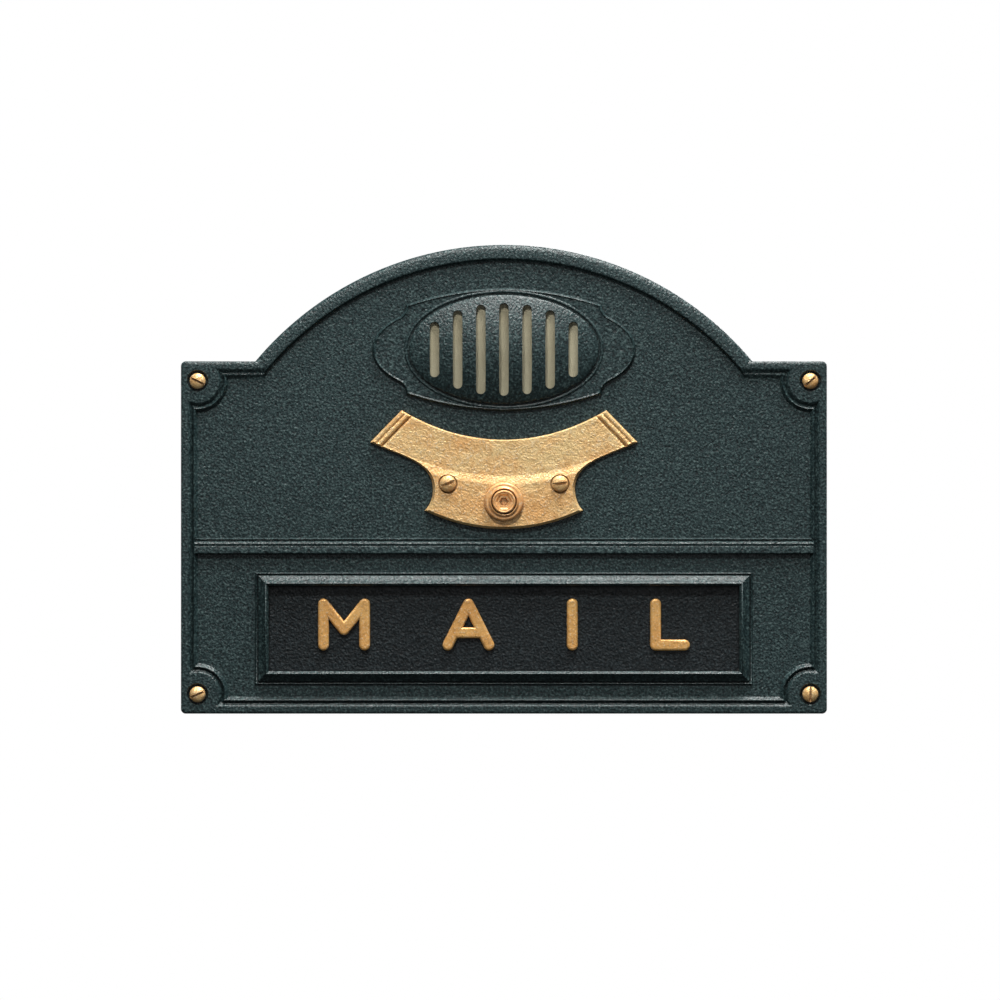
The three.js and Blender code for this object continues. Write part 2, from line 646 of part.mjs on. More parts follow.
function bodyShell() {
  const outer = boxHalf + sheet;
  const front = -sheet / 2;
  const inside = [box.sill + sheet, boxTop - sheet];
  const flange = cut(
    slab(plateOutline(box.flangeInset), -sheet, 0, archSegments),
    ...flangeOpenings(-sheet - past, past, housingScrew.shank + fit.hole),
  );
  const tube = cut(
    block([-outer, outer], [front, box.depth], [box.sill, boxTop]),
    block([-boxHalf, boxHalf], [front - past, box.depth - sheet], inside),
    rearMouth(box.depth - sheet - past, box.depth + past),
  );
  return joined(flange, tube);
}

function rearMouth(front, back) {
  const half = boxHalf - box.rearLip;
  const reach = [box.sill + sheet + box.rearLip, boxTop - sheet - box.rearLip];
  return block([-half, half], [front, back], reach);
}

// A bent sheet that lets letters slide to the back of the floor.
function mailRamp() {
  const floor = box.sill + sheet + fit.loose;
  const { thickness, front, rear, frontSet } = ramp;
  const back = box.depth - ramp.rearSet;
  const side = new THREE.Shape()
    .moveTo(-floor, frontSet)
    .lineTo(-front, frontSet)
    .lineTo(-rear, back)
    .lineTo(-floor, back)
    .lineTo(-floor, back - thickness)
    .lineTo(-rear + thickness, back - thickness)
    .lineTo(-front + thickness, frontSet + thickness)
    .lineTo(-floor, frontSet + thickness)
    .closePath();
  const half = boxHalf - ramp.sideGap;
  const geometry = new THREE.ExtrudeGeometry(side, { depth: 2 * half, bevelEnabled: false });
  return solid(geometry.rotateY(Math.PI / 2).translate(-half, 0, 0));
}

// ---------------------------------------------------------------- intercom housing

function boardPosts() {
  const [x, z] = [board.width / 2 - board.postInset, board.height / 2 - board.postInset];
  return [[-x, -z], [x, -z], [-x, z], [x, z]].map(([dx, dz]) => [dx, boardZ + dz]);
}

function intercomHousing() {
  const { wall, depth, ear, earDrop } = housing;
  const reach = housingHalf + ear;
  const hollow = housingHalf - wall;
  const outer = block([-housingHalf, housingHalf], [0, depth], [housingFoot, housingTop]);
  const ears = block([-reach, reach], [0, wall], [housingFoot, housingTop - earDrop]);
  const inner = block([-hollow, hollow], [-past, depth - wall], [housingFoot + wall, housingTop - wall]);
  const postReach = [boardY + board.thickness, depth - wall / 2];
  const posts = boardPosts().map(([x, z]) => disc(board.post, ...postReach, 12).translate(x, 0, z));
  const cableHole = disc(grommet.neck + fit.loose, depth - wall - past, depth + past, 20);
  const screwHole = disc(housingScrew.shank + fit.hole, -past, wall + past, 12);
  return cut(
    joined(cut(joined(outer, ears), inner), ...posts),
    cableHole.translate(-grommet.offset, 0, grommetZ),
    ...housingScrewPlaces().map(([x, z]) => screwHole.translate(x, 0, z)),
  );
}

function cableGrommet() {
  const { bore, neck, rim, reach, backReach, bevel } = grommet;
  const middle = housing.depth - housing.wall / 2;
  const groove = housing.wall / 2 + fit.loose;
  return turned([
    [bore, middle - reach], [rim - bevel, middle - reach], [rim, middle - groove], [neck, middle - groove],
    [neck, middle + groove], [rim, middle + groove], [rim - 2 * bevel, middle + backReach],
    [bore, middle + backReach],
  ], 12);
}

// ---------------------------------------------------------------- rear door and lock

function doorGasket() {
  const half = boxHalf - door.gasketInset;
  const inset = sheet + door.gasketInset;
  const outer = block([-half, half], [box.depth, gasketBack], [box.sill + inset, boxTop - inset]);
  return cut(outer, rearMouth(box.depth - past, gasketBack + past));
}

function rearDoor() {
  const [foot, head] = [box.sill + door.gap, boxTop - door.gap];
  const deep = [doorY, doorBack + door.rim];
  const edge = [-doorHalf + door.hingeClearance, doorHalf];
  const pan = joined(
    block([-doorHalf, doorHalf], [doorY, doorBack], [foot, head]),
    block([doorHalf - sheet, doorHalf], deep, [foot, head]),
    block(edge, deep, [foot, foot + sheet]),
    block(edge, deep, [head - sheet, head]),
  );
  const lockHole = disc(lock.barrel + fit.hole, doorY - past, doorBack + past, 24);
  return cut(pan, lockHole.translate(lockX, 0, boxMiddle));
}

// One leaf with every other knuckle; it owns the even or the odd ones.
function hingeLeaf(owns, leafFace, tab) {
  const { barrel, pin, knuckles, gap, height } = rearHinge;
  const foot = boxMiddle - height / 2;
  const pitch = height / knuckles;
  const parts = [leafFace([foot, foot + height])];
  for (let index = owns; index < knuckles; index += 2) {
    const reach = [foot + index * pitch + gap / 2, foot + (index + 1) * pitch - gap / 2];
    parts.push(rodZ(barrel, rearPin.x, rearPin.y, reach), tab(reach));
  }
  const bore = rodZ(pin + fit.running, rearPin.x, rearPin.y, [foot - past, foot + height + past]);
  return cut(joined(...parts), bore);
}

function shellLeaf() {
  const { leaf, leafLength } = rearHinge;
  const wall = -boxHalf - sheet;
  return hingeLeaf(
    0,
    (reach) => block([wall - leaf, wall], [box.depth - leafLength, box.depth], reach),
    (reach) => block([wall - leaf, wall], [box.depth - leaf, rearPin.y], reach),
  );
}

function doorLeaf() {
  const { leaf, leafLength } = rearHinge;
  return hingeLeaf(
    1,
    (reach) => block([-doorHalf + fit.loose, -doorHalf + leafLength], [doorBack, doorBack + leaf], reach),
    (reach) => block([rearPin.x, -doorHalf + leaf], [doorBack, doorBack + leaf], reach),
  );
}

function lockBody() {
  const { barrel, head, headHeight, bevel, length, rotor } = lock;
  const bore = rotor + fit.running;
  const back = doorBack + headHeight;
  return turned([
    [bore, doorBack - length], [barrel, doorBack - length], [barrel, doorBack], [head, doorBack],
    [head, back - bevel], [head - bevel, back], [bore, back],
  ], 18);
}

function lockCylinder() {
  const half = cam.tail / 2;
  const back = doorBack + lock.headHeight;
  const [keyHalf, keyReach] = [lock.keyWidth / 2, lock.keyHeight / 2];
  const rotor = disc(lock.rotor, barrelEnd, back, 24);
  const tail = block([-half, half], [tailEnd, barrelEnd + past], [-half, half]);
  const keyway = block([-keyHalf, keyHalf], [back - lock.keyDepth, back + past], [-keyReach, keyReach]);
  const thread = disc(camScrew.shank + fit.hole, tailEnd - past, tailEnd + camScrew.bore, 12);
  return cut(joined(rotor, tail), keyway, thread);
}

// A cranked lever that hangs down while the lock is open and reaches behind the lip when it is turned.
function lockCam() {
  const { thickness, width, hub, bend, slope, bendInside, reach, crank } = cam;
  const bendEnd = hub + bend + slope;
  const side = new THREE.Shape()
    .moveTo(-hub, 0)
    .lineTo(hub + bend, 0)
    .lineTo(bendEnd, crank)
    .lineTo(reach, crank)
    .lineTo(reach, crank + thickness)
    .lineTo(bendEnd - bendInside, crank + thickness)
    .lineTo(hub + bend - bendInside, thickness)
    .lineTo(-hub, thickness)
    .closePath();
  const lever = solid(new THREE.ExtrudeGeometry(side, { depth: width, bevelEnabled: false }));
  const hung = lever.translate(0, camY, -width / 2).rotate([0, 90, 0]);
  const square = cam.tail / 2 + fit.hole;
  return cut(hung, block([-square, square], [camY - past, camY + thickness + past], [-square, square]));
}

// ---------------------------------------------------------------- materials

const surface = (color, roughness, metalness) => ({ color, roughness, metalness });
const surfaces = {
  paint: surface(0x2f3c3d, 0.6, 0.2),
  darkPaint: surface(0x1e2527, 0.6, 0.2),
  brass: surface(0xc9a877, 0.4, 0.9),
  bellBrass: surface(0xc48f5a, 0.35, 0.9),
  letterBrass: surface(0xba8d55, 0.4, 0.9),
  cloth: surface(0x918f79, 0.9, 0),
  galvanised: surface(0xa6aaac, 0.45, 0.8),
  steel: surface(0xb8bbbd, 0.3, 0.9),
  greyPaint: surface(0x8d9293, 0.5, 0.3),
  blackPlastic: surface(0x202224, 0.6, 0),
  nylon: surface(0xb9b7ae, 0.6, 0),
  foam: surface(0x2a2b2c, 0.95, 0),
  paper: surface(0x2c2a28, 0.9, 0),
  board: surface(0x2f5c40, 0.5, 0),
};

// ---------------------------------------------------------------- assembly

const letterBox = new THREE.Group();
const flapGroup = new THREE.Group();
const bellGroup = new THREE.Group();
const doorGroup = new THREE.Group();
const lockGroup = new THREE.Group();
bellGroup.position.set(0, 0, bellZ);
lockGroup.position.set(lockX, 0, boxMiddle);
doorGroup.add(lockGroup);
letterBox.add(flapGroup, bellGroup, doorGroup);

function add(group, name, shape, look, place = [0, 0, 0], turn = [0, 0, 0]) {
  const mesh = new THREE.Mesh(geometryOf(shape), new THREE.MeshStandardMaterial(surfaces[look]));
  mesh.name = name;
  mesh.position.set(...place);
  mesh.rotation.set(...turn);
  group.add(mesh);
}

const sides = [['left', -1], ['right', 1]];
const facingBack = [0, 0, Math.PI];

function addCasting() {
  add(letterBox, 'front_plate', frontPlate(), 'paint');
  add(letterBox, 'plate_gasket', plateGasket(), 'foam');
  add(letterBox, 'body_shell', bodyShell(), 'galvanised');
  add(letterBox, 'mail_ramp', mailRamp(), 'galvanised');
  const names = ['lower_left', 'lower_right', 'upper_left', 'upper_right'];
  const [screw, plug] = [slottedScrew(cornerScrew), wallPlugBody()];
  cornerPlaces().forEach(([x, z], index) => {
    add(letterBox, `corner_screw_${names[index]}`, screw, 'brass', [x, borderY + lobe.sink, z]);
    add(letterBox, `wall_plug_${names[index]}`, plug, 'nylon', [x, 0, z]);
  });
}

function addSpeaker() {
  add(letterBox, 'speaker_grille', speakerGrille(), 'paint', [0, cartoucheY, grilleZ]);
  add(letterBox, 'speaker_cloth', speakerCloth(), 'cloth', [0, cartoucheY, grilleZ]);
  add(letterBox, 'speaker_basket', speakerBasket(), 'galvanised', [0, plateBack, grilleZ]);
  add(letterBox, 'speaker_cone', speakerCone(), 'paper', [0, plateBack, grilleZ]);
  const magnet = disc(speaker.magnet, 0, speaker.magnetDepth);
  add(letterBox, 'speaker_magnet', magnet, 'steel', [0, plateBack + speaker.depth, grilleZ]);
  const screw = slottedScrew(grilleScrew, 0.7, 10);
  for (const [side, sign] of sides) {
    const place = [sign * grilleScrew.offset, plateBack + speaker.flange, grilleZ];
    add(letterBox, `grille_screw_${side}`, screw, 'steel', place, facingBack);
  }
}

function addNamePlate() {
  const { head, headHeight, shank, nut, nutThickness, overrun } = namePlateScrew;
  const bevel = { deep: namePlate.bevel, wide: namePlate.bevel, curveSegments: 7 };
  const body = chamfered(namePlateOutline(), namePlateY, fieldY, bevel);
  const hole = (x, z, radius) => disc(radius, namePlateY - past, plateBack, 20).translate(x, 0, z);
  const holes = both((side) => hole(side * namePlate.screwOffset, namePlate.screwRise, shank + fit.hole));
  add(letterBox, 'name_plate', cut(body, ...holes, hole(0, 0, bell.barrel + fit.hole)), 'brass', [0, 0, bellZ]);
  const length = namePlate.thickness + plate.thickness + overrun;
  const screw = slottedScrew({ head, headHeight, shank, length });
  const nutShape = hexagonNut(nut, shank + fit.hole, 0, nutThickness);
  for (const [side, sign] of sides) {
    const [x, z] = [sign * namePlate.screwOffset, bellZ + namePlate.screwRise];
    add(letterBox, `name_plate_screw_${side}`, screw, 'brass', [x, namePlateY, z]);
    add(letterBox, `name_plate_nut_${side}`, nutShape, 'steel', [x, plateBack, z]);
  }
}

function addBell() {
  const nut = hexagonNut(bellNut.radius, bell.barrel + fit.hole, 0, bellNut.thickness);
  const [thick, wide] = [terminal.thickness / 2, terminal.width / 2];
  const back = bellSwitch.front + bellSwitch.length;
  const blade = block([-thick, thick], [back, back + terminal.length], [-wide, wide]);
  add(letterBox, 'bell_rosette', bellRosette(), 'bellBrass', [0, 0, bellZ]);
  add(letterBox, 'bell_nut', nut, 'steel', [0, plateBack, bellZ]);
  add(bellGroup, 'bell_button', bellButton(), 'bellBrass');
  add(letterBox, 'bell_spring', bellReturnSpring(), 'steel', [0, 0, bellZ]);
  add(letterBox, 'bell_switch', bellSwitchBody(), 'blackPlastic', [0, 0, bellZ]);
  for (const [side, sign] of sides) {
    add(letterBox, `bell_terminal_${side}`, blade, 'letterBrass', [sign * terminal.offset, 0, bellZ]);
  }
}

function addHousing() {
  const [boardX, boardHigh] = [board.width / 2, board.height / 2];
  const [blockX, blockHigh] = [terminalBlock.width / 2, terminalBlock.height / 2];
  const boardShape = block([-boardX, boardX], [boardY, boardY + board.thickness], [-boardHigh, boardHigh]);
  const blockShape = block([-blockX, blockX], [boardY - terminalBlock.depth, boardY], [-blockHigh, blockHigh]);
  const screw = slottedScrew({ ...housingScrew, length: housing.wall + housingScrew.overrun }, 0.7, 10);
  add(letterBox, 'intercom_housing', intercomHousing(), 'blackPlastic');
  housingScrewPlaces().forEach(([x, z], index) => {
    add(letterBox, `housing_screw_${sides[index][0]}`, screw, 'steel', [x, housing.wall, z], facingBack);
  });
  add(letterBox, 'cable_grommet', cableGrommet(), 'foam', [-grommet.offset, 0, grommetZ]);
  add(letterBox, 'terminal_board', boardShape, 'board', [0, 0, boardZ]);
  add(letterBox, 'terminal_block', blockShape, 'blackPlastic', [0, 0, boardZ]);
}

function addFlap() {
  const pinReach = lugEnd + hingePin.overrun;
  add(flapGroup, 'mail_flap', mailFlap(), 'darkPaint');
  add(letterBox, 'flap_hinge_pin', rodX(hingePin.radius, [-pinReach, pinReach], pinY, pinZ), 'steel');
  const [clipShape, springShape] = [hingeClip(), flapReturnSpring()];
  for (const [side, sign] of sides) {
    const clipX = sign * (lugEnd + fit.loose) - (sign < 0 ? clip.thickness : 0);
    add(letterBox, `hinge_clip_${side}`, clipShape, 'steel', [clipX, pinY, pinZ]);
    add(letterBox, `flap_spring_${side}`, springShape, 'steel', [sign * flapSpring.offset, 0, 0]);
  }
}

// The letters stand in a row with equal gaps between their edges.
function addLetters() {
  const glyphs = Object.entries(letterShapes()).map(([name, strokes]) => {
    const reach = strokes.flat().map(([x]) => x);
    const [low, high] = [Math.min(...reach) - letter.stroke / 2, Math.max(...reach) + letter.stroke / 2];
    return { name, shape: letterSolid(strokes), low, width: high - low };
  });
  const inked = glyphs.reduce((sum, glyph) => sum + glyph.width, 0);
  const gap = (letter.rowWidth - inked) / (glyphs.length - 1);
  let x = -letter.rowWidth / 2;
  for (const glyph of glyphs) {
    const place = [x - glyph.low, flapY - letter.thickness, slotMiddle + letter.raise];
    add(flapGroup, `letter_${glyph.name}`, glyph.shape, 'letterBrass', place);
    x += glyph.width + gap;
  }
}

function addRearDoor() {
  const lockPlace = [lockX, 0, boxMiddle];
  const pinHalf = rearHinge.height / 2 + rearHinge.pinOverrun;
  const pin = rodZ(rearHinge.pin, rearPin.x, rearPin.y, [boxMiddle - pinHalf, boxMiddle + pinHalf]);
  const nut = hexagonNut(lock.barrel + lock.nutWall, lock.barrel + fit.hole, doorY - lock.nut, doorY);
  add(letterBox, 'door_gasket', doorGasket(), 'foam');
  add(doorGroup, 'rear_door', rearDoor(), 'greyPaint');
  add(letterBox, 'rear_hinge_shell_leaf', shellLeaf(), 'steel');
  add(doorGroup, 'rear_hinge_door_leaf', doorLeaf(), 'steel');
  add(letterBox, 'rear_hinge_pin', pin, 'steel');
  add(doorGroup, 'lock_body', lockBody(), 'steel', lockPlace);
  add(doorGroup, 'lock_nut', nut, 'steel', lockPlace);
  add(lockGroup, 'lock_cylinder', lockCylinder(), 'steel');
  add(lockGroup, 'lock_cam', lockCam(), 'steel');
  add(lockGroup, 'cam_screw', slottedScrew(camScrew, 0.8, 12), 'steel', [0, camY - fit.loose, 0]);
}

addCasting();
addSpeaker();
addNamePlate();
addBell();
addHousing();
addFlap();
addLetters();
addRearDoor();

export default letterBox;
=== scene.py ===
"""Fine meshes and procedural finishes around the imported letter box, in its own frame.

+X is to the right seen from the street, +Y goes into the wall and +Z is up. Functions that make pieces work
in millimetres.
"""
import json
import math

import bmesh
import bpy
import numpy as np
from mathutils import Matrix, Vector


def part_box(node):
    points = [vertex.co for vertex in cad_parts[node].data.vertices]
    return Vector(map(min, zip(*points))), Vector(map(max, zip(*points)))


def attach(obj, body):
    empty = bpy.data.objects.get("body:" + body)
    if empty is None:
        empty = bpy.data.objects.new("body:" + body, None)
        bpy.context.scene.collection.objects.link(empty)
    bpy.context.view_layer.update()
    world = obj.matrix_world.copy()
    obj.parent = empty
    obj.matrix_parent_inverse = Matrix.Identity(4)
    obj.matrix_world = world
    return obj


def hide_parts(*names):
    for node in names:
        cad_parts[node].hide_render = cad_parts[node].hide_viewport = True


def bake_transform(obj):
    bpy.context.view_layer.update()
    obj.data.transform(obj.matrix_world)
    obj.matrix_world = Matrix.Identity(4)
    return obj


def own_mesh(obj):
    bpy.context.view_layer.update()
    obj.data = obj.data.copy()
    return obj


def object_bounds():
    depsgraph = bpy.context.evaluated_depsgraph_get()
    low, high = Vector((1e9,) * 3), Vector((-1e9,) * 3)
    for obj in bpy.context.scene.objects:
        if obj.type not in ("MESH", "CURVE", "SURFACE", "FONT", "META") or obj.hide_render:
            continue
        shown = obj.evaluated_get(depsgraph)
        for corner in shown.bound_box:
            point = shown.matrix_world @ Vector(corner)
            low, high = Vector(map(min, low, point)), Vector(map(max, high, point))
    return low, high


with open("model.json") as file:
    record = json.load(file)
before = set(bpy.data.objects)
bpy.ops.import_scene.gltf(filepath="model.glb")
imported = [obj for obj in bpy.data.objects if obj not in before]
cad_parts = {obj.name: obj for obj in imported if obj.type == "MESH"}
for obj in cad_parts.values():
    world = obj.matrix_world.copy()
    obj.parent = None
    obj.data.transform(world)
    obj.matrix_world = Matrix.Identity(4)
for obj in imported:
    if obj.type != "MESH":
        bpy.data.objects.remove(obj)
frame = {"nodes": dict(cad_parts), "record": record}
cad_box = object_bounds()
scene = bpy.context.scene
MM = 0.001


def span(node):
    """A CAD node's lowest and highest corners in millimetres."""
    low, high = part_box(node)
    return [v / MM for v in low], [v / MM for v in high]


def middle(node):
    low, high = span(node)
    return [(a + b) / 2 for a, b in zip(low, high)]


# ---------------------------------------------------------------- places read from the frame

plate_low, plate_high = span("front_plate")
FRONT = plate_low[1]
HALF, TOP = plate_high[0], plate_high[2]
SCREW_X = middle("corner_screw_lower_right")[0]
SCREW_LOW = middle("corner_screw_lower_right")[2]
SCREW_HIGH = middle("corner_screw_upper_right")[2]
BELL_Z = middle("bell_button")[2]
GRILLE_Z = middle("speaker_grille")[2]
PIN_Y, PIN_Z = middle("flap_hinge_pin")[1:]

# Sizes of the CAD's plate that boxes don't give, with its flat field and its back as places along Y.
FIELD = -7.2
BACK = -3.2
SHOULDER = 38
ARCH_RISE = 59.5
ARCH_HALF = HALF - SHOULDER
ARCH_RADIUS = (ARCH_HALF**2 + ARCH_RISE**2) / (2 * ARCH_RISE)
ARCH_Z = TOP - ARCH_RADIUS
SHOULDER_Z = TOP - ARCH_RISE
CORNER = 2.5
BAND = 5.0
LOBE = 12.2
SLOT_HALF = 120.2
SLOT_FOOT = 21.7
SLOT_TOP = 65.3
SHIELD = FIELD - 1.5
BELL_BORE = 8.5

# Where cutters along Y begin and end, clear of the plate.
PAST_FRONT = -20
PAST_BACK = 5


# ---------------------------------------------------------------- mesh code


def shell(name, verts, faces):
    """A closed mesh object from millimetres, with its faces pointing out."""
    mesh = bpy.data.meshes.new(name)
    mesh.from_pydata([tuple(c * MM for c in v) for v in verts], [], faces)
    work = bmesh.new()
    work.from_mesh(mesh)
    bmesh.ops.recalc_face_normals(work, faces=work.faces)
    work.to_mesh(mesh)
    work.free()
    obj = bpy.data.objects.new(name, mesh)
    scene.collection.objects.link(obj)
    return obj


def loft(name, rings, looped=False):
    """Rings of equal length bridged in order, capped at both ends or closed into a loop."""
    count = len(rings[0])
    verts = [p for ring in rings for p in ring]
    pairs = list(zip(range(len(rings) - 1), range(1, len(rings))))
    if looped:
        pairs.append((len(rings) - 1, 0))
    faces = []
    for a, b in pairs:
        for i in range(count):
            j = (i + 1) % count
            faces.append((a * count + i, a * count + j, b * count + j, b * count + i))
    if not looped:
        faces.append(tuple(range(count))[::-1])
        faces.append(tuple(range(len(verts) - count, len(verts))))
    return shell(name, verts, faces)


def lift(outline, y):
    """Puts an outline of (x, z) points at a depth."""
    return [(x, y, z) for x, z in outline]


def shifted(outline, x, z):
    return [(px + x, pz + z) for px, pz in outline]


def arc(x, z, radius, start, end, steps):
    """Points on a circle between two angles in degrees."""
    angles = np.radians(np.linspace(start, end, steps))
    return [(x + radius * math.cos(t), z + radius * math.sin(t)) for t in angles]


def ellipse(half_x, half_z, x=0.0, z=0.0, steps=96):
    turn = [2 * math.pi * i / steps for i in range(steps)]
    return [(x + half_x * math.cos(t), z + half_z * math.sin(t)) for t in turn]


def bezier(points, steps):
    """Points along a quadratic or cubic curve, without its last one."""
    order = len(points) - 1
    found = []
    for i in range(steps):
        t = i / steps
        weights = [math.comb(order, k) * t**k * (1 - t) ** (order - k) for k in range(order + 1)]
        found.append(tuple(sum(w * p[axis] for w, p in zip(weights, points)) for axis in (0, 1)))
    return found


def inset(outline, by):
    """Moves a counter-clockwise outline inwards, with mitred corners."""
    pts = np.array(outline)
    edge = np.roll(pts, -1, axis=0) - pts
    edge /= np.linalg.norm(edge, axis=1)[:, None]
    normal = np.stack([-edge[:, 1], edge[:, 0]], axis=1)
    before = np.roll(normal, 1, axis=0)
    mitre = (normal + before) / (1 + np.sum(normal * before, axis=1))[:, None]
    return [tuple(p) for p in pts + mitre * by]


def mirrored(half_outline):
    """Completes an outline whose right half is given from bottom to top."""
    return half_outline + [(-x, z) for x, z in reversed(half_outline) if x > 1e-6]


def relief(name, outline, back, profile):
    """A solid on an outline whose front edge follows (inset, y) rows."""
    rings = [lift(outline, back)] + [lift(inset(outline, by), y) for by, y in profile]
    return loft(name, rings)


def turned(name, profile, x, z, steps=64, looped=False):
    """A profile of (radius, y) rows about an axis along Y."""
    return loft(name, [lift(ellipse(r, r, x, z, steps), y) for r, y in profile], looped)


def bore(radius, x, z, steps=24, end=PAST_BACK):
    """A straight round cutter through the plate."""
    return turned("bore", [(radius, PAST_FRONT), (radius, end)], x, z, steps)


def block(name, x, y, z):
    """A box from its lowest and highest place on each axis."""
    corners = [(x[0], z[0]), (x[1], z[0]), (x[1], z[1]), (x[0], z[1])]
    return loft(name, [lift(corners, y[0]), lift(corners, y[1])])


def combine(base, others, operation):
    """Joins, cuts or crosses closed meshes and leaves one."""
    for other in others:
        step = base.modifiers.new(operation, "BOOLEAN")
        step.operation = operation
        step.solver = "MANIFOLD"
        step.object = other
    bpy.context.view_layer.update()
    result = bpy.data.meshes.new_from_object(base.evaluated_get(bpy.context.evaluated_depsgraph_get()))
    base.modifiers.clear()
    base.data = result
    for other in others:
        bpy.data.objects.remove(other)
    return base


def join(base, *others):
    return combine(base, others, "UNION")


def cut(base, *others):
    return combine(base, others, "DIFFERENCE")


TURN_STEPS = 20


def tube(name, path, radius, sides):
    """A round wire along a list of points, capped at both ends."""
    pts = [Vector(p) for p in path]
    rings = []
    normal = None
    for i, here in enumerate(pts):
        ahead = pts[min(i + 1, len(pts) - 1)] - pts[max(i - 1, 0)]
        ahead.normalize()
        if normal is None:
            normal = ahead.orthogonal().normalized()
        normal = (normal - ahead * normal.dot(ahead)).normalized()
        side = ahead.cross(normal)
        turn = [2 * math.pi * k / sides for k in range(sides)]
        rings.append([tuple(here + radius * (normal * math.cos(t) + side * math.sin(t))) for t in turn])
    return loft(name, rings)


def bevelled(obj, width, angle=30):
    """Rounds the edges that turn by more than an angle in degrees."""
    bevel = obj.modifiers.new("edges", "BEVEL")
    bevel.width = width * MM
    bevel.segments = 2
    bevel.limit_method = "ANGLE"
    bevel.angle_limit = math.radians(angle)
    bevel.use_clamp_overlap = True


def shaded(obj, angle=35):
    """Smooth shading that stays sharp at edges and flat on large faces."""
    for face in obj.data.polygons:
        face.use_smooth = True
    obj.data.set_sharp_from_angle(angle=math.radians(angle))
    weigh = obj.modifiers.new("flats", "WEIGHTED_NORMAL")
    weigh.keep_sharp = True


def piece(obj, name, look, nodes, body="wall_box", angle=35):
    """Names a finished mesh, dresses it and lets it stand for CAD nodes."""
    obj.name = name
    shaded(obj, angle)
    obj.data.materials.clear()
    obj.data.materials.append(LOOKS[look])
    if body:
        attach(obj, body)
    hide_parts(*nodes)
    return obj


# ---------------------------------------------------------------- materials


class Look:
    """A material with one Principled shader and short calls for the nodes in front of it."""

    def __init__(self, name, roughness=0.5, metallic=0.0, **more):
        self.material = bpy.data.materials.new(name)
        self.material.use_nodes = True
        self.tree = self.material.node_tree
        self.shader = self.tree.nodes["Principled BSDF"]
        self.shader.inputs["Roughness"].default_value = roughness
        self.shader.inputs["Metallic"].default_value = metallic
        for socket, value in more.items():
            self.shader.inputs[socket.replace("_", " ")].default_value = value
        self.place = self.add("ShaderNodeTexCoord").outputs["Object"]

    def add(self, kind, sockets=(), **settings):
        """A node with its settings, whose sockets are linked or given values."""
        node = self.tree.nodes.new(kind)
        for name, value in settings.items():
            setattr(node, name, value)
        for key, value in dict(sockets).items():
            if isinstance(value, bpy.types.NodeSocket):
                self.tree.links.new(value, node.inputs[key])
            else:
                node.inputs[key].default_value = value
        return node

    def noise(self, scale, detail=3.0, roughness=0.5, stretch=None):
        place = self.place
        if stretch:
            place = self.add("ShaderNodeMapping", {"Vector": place, "Scale": stretch}).outputs[0]
        sockets = {"Vector": place, "Scale": scale, "Detail": detail, "Roughness": roughness}
        return self.add("ShaderNodeTexNoise", sockets).outputs["Fac"]

    def cells(self, scale):
        return self.add("ShaderNodeTexVoronoi", {"Vector": self.place, "Scale": scale}).outputs

    def limits(self, value, low, high, to_low=0.0, to_high=1.0):
        """Maps one range of values to another and holds it at the ends."""
        sockets = {"Value": value, "From Min": low, "From Max": high, "To Min": to_low, "To Max": to_high}
        return self.add("ShaderNodeMapRange", sockets).outputs["Result"]

    def painted_shade_mask(self, reach, most):
        """How much painted shade a place gets from lying in a groove or corner, from 0 to a most share, felt
        over a reach in mm.
        """
        open_light, closed_light = 0.82, 0.35
        # Painted shade: an ambient occlusion mask that darkens the base colour where grooves and corners lie
        # in shade.
        node = self.add("ShaderNodeAmbientOcclusion", {"Distance": reach * MM}, samples=8)
        return self.limits(node.outputs["AO"], open_light, closed_light, 0.0, most)

    def math(self, operation, a, b=0.0):
        return self.add("ShaderNodeMath", {0: a, 1: b}, operation=operation).outputs[0]

    def mix(self, share, a, b):
        """A blend of two colours, each a socket or sRGB values."""
        node = self.add("ShaderNodeMix", {0: share}, data_type="RGBA")
        for socket, value in ((6, a), (7, b)):
            if isinstance(value, bpy.types.NodeSocket):
                self.tree.links.new(value, node.inputs[socket])
            else:
                node.inputs[socket].default_value = colour(value)
        return node.outputs[2]

    def axis(self, name):
        return self.add("ShaderNodeSeparateXYZ", {0: self.place}).outputs[name]

    def set(self, socket, value):
        if isinstance(value, bpy.types.NodeSocket):
            self.tree.links.new(value, self.shader.inputs[socket])
        else:
            self.shader.inputs[socket].default_value = value

    def bumps(self, *layers):
        """Stacks (height, depth in mm) layers into the shader's normal."""
        normal = None
        for height, depth in layers:
            sockets = {"Height": height, "Distance": depth * MM, "Strength": 1.0}
            if normal:
                sockets["Normal"] = normal
            normal = self.add("ShaderNodeBump", sockets).outputs["Normal"]
        self.set("Normal", normal)


def linear(value):
    """The share of light that an sRGB value from 0 to 255 stands for."""
    share = value / 255
    return share / 12.92 if share <= 0.04045 else ((share + 0.055) / 1.055) ** 2.4


def colour(rgb):
    """A shader colour from sRGB values."""
    return tuple(linear(value) for value in rgb) + (1.0,)


def casting_paint(name, dark, light, speck):
    """Sandy semi-gloss paint: coarse grain, slow drift in tone, pale and dark specks, and painted shade
    darkening its recesses.
    """
    look = Look(name, roughness=0.42, Specular_IOR_Level=0.42)
    grain = look.noise(860, 2.0, 0.6)
    sand = look.cells(700)["Distance"]
    drift = look.limits(look.noise(9, 3.0), 0.35, 0.65)
    tone = look.mix(drift, dark, light)
    tone = look.mix(look.limits(grain, 0.52, 0.7, 0.0, 0.62), tone, speck)
    tone = look.mix(look.limits(grain, 0.48, 0.32, 0.0, 0.8), tone, [c * 0.3 for c in dark])
    # Painted shade: grooves, corners and the foot of every step in the relief are darkened towards a fifth
    # of the dark tone.
    look.set("Base Color", look.mix(look.painted_shade_mask(2.5, 0.85), tone, [c * 0.2 for c in dark]))
    look.set("Roughness", look.limits(look.noise(400), 0.3, 0.7, 0.3, 0.46))
    look.bumps((sand, 0.18), (grain, 0.36), (look.noise(120, 3.0), 0.1))
    return look.material


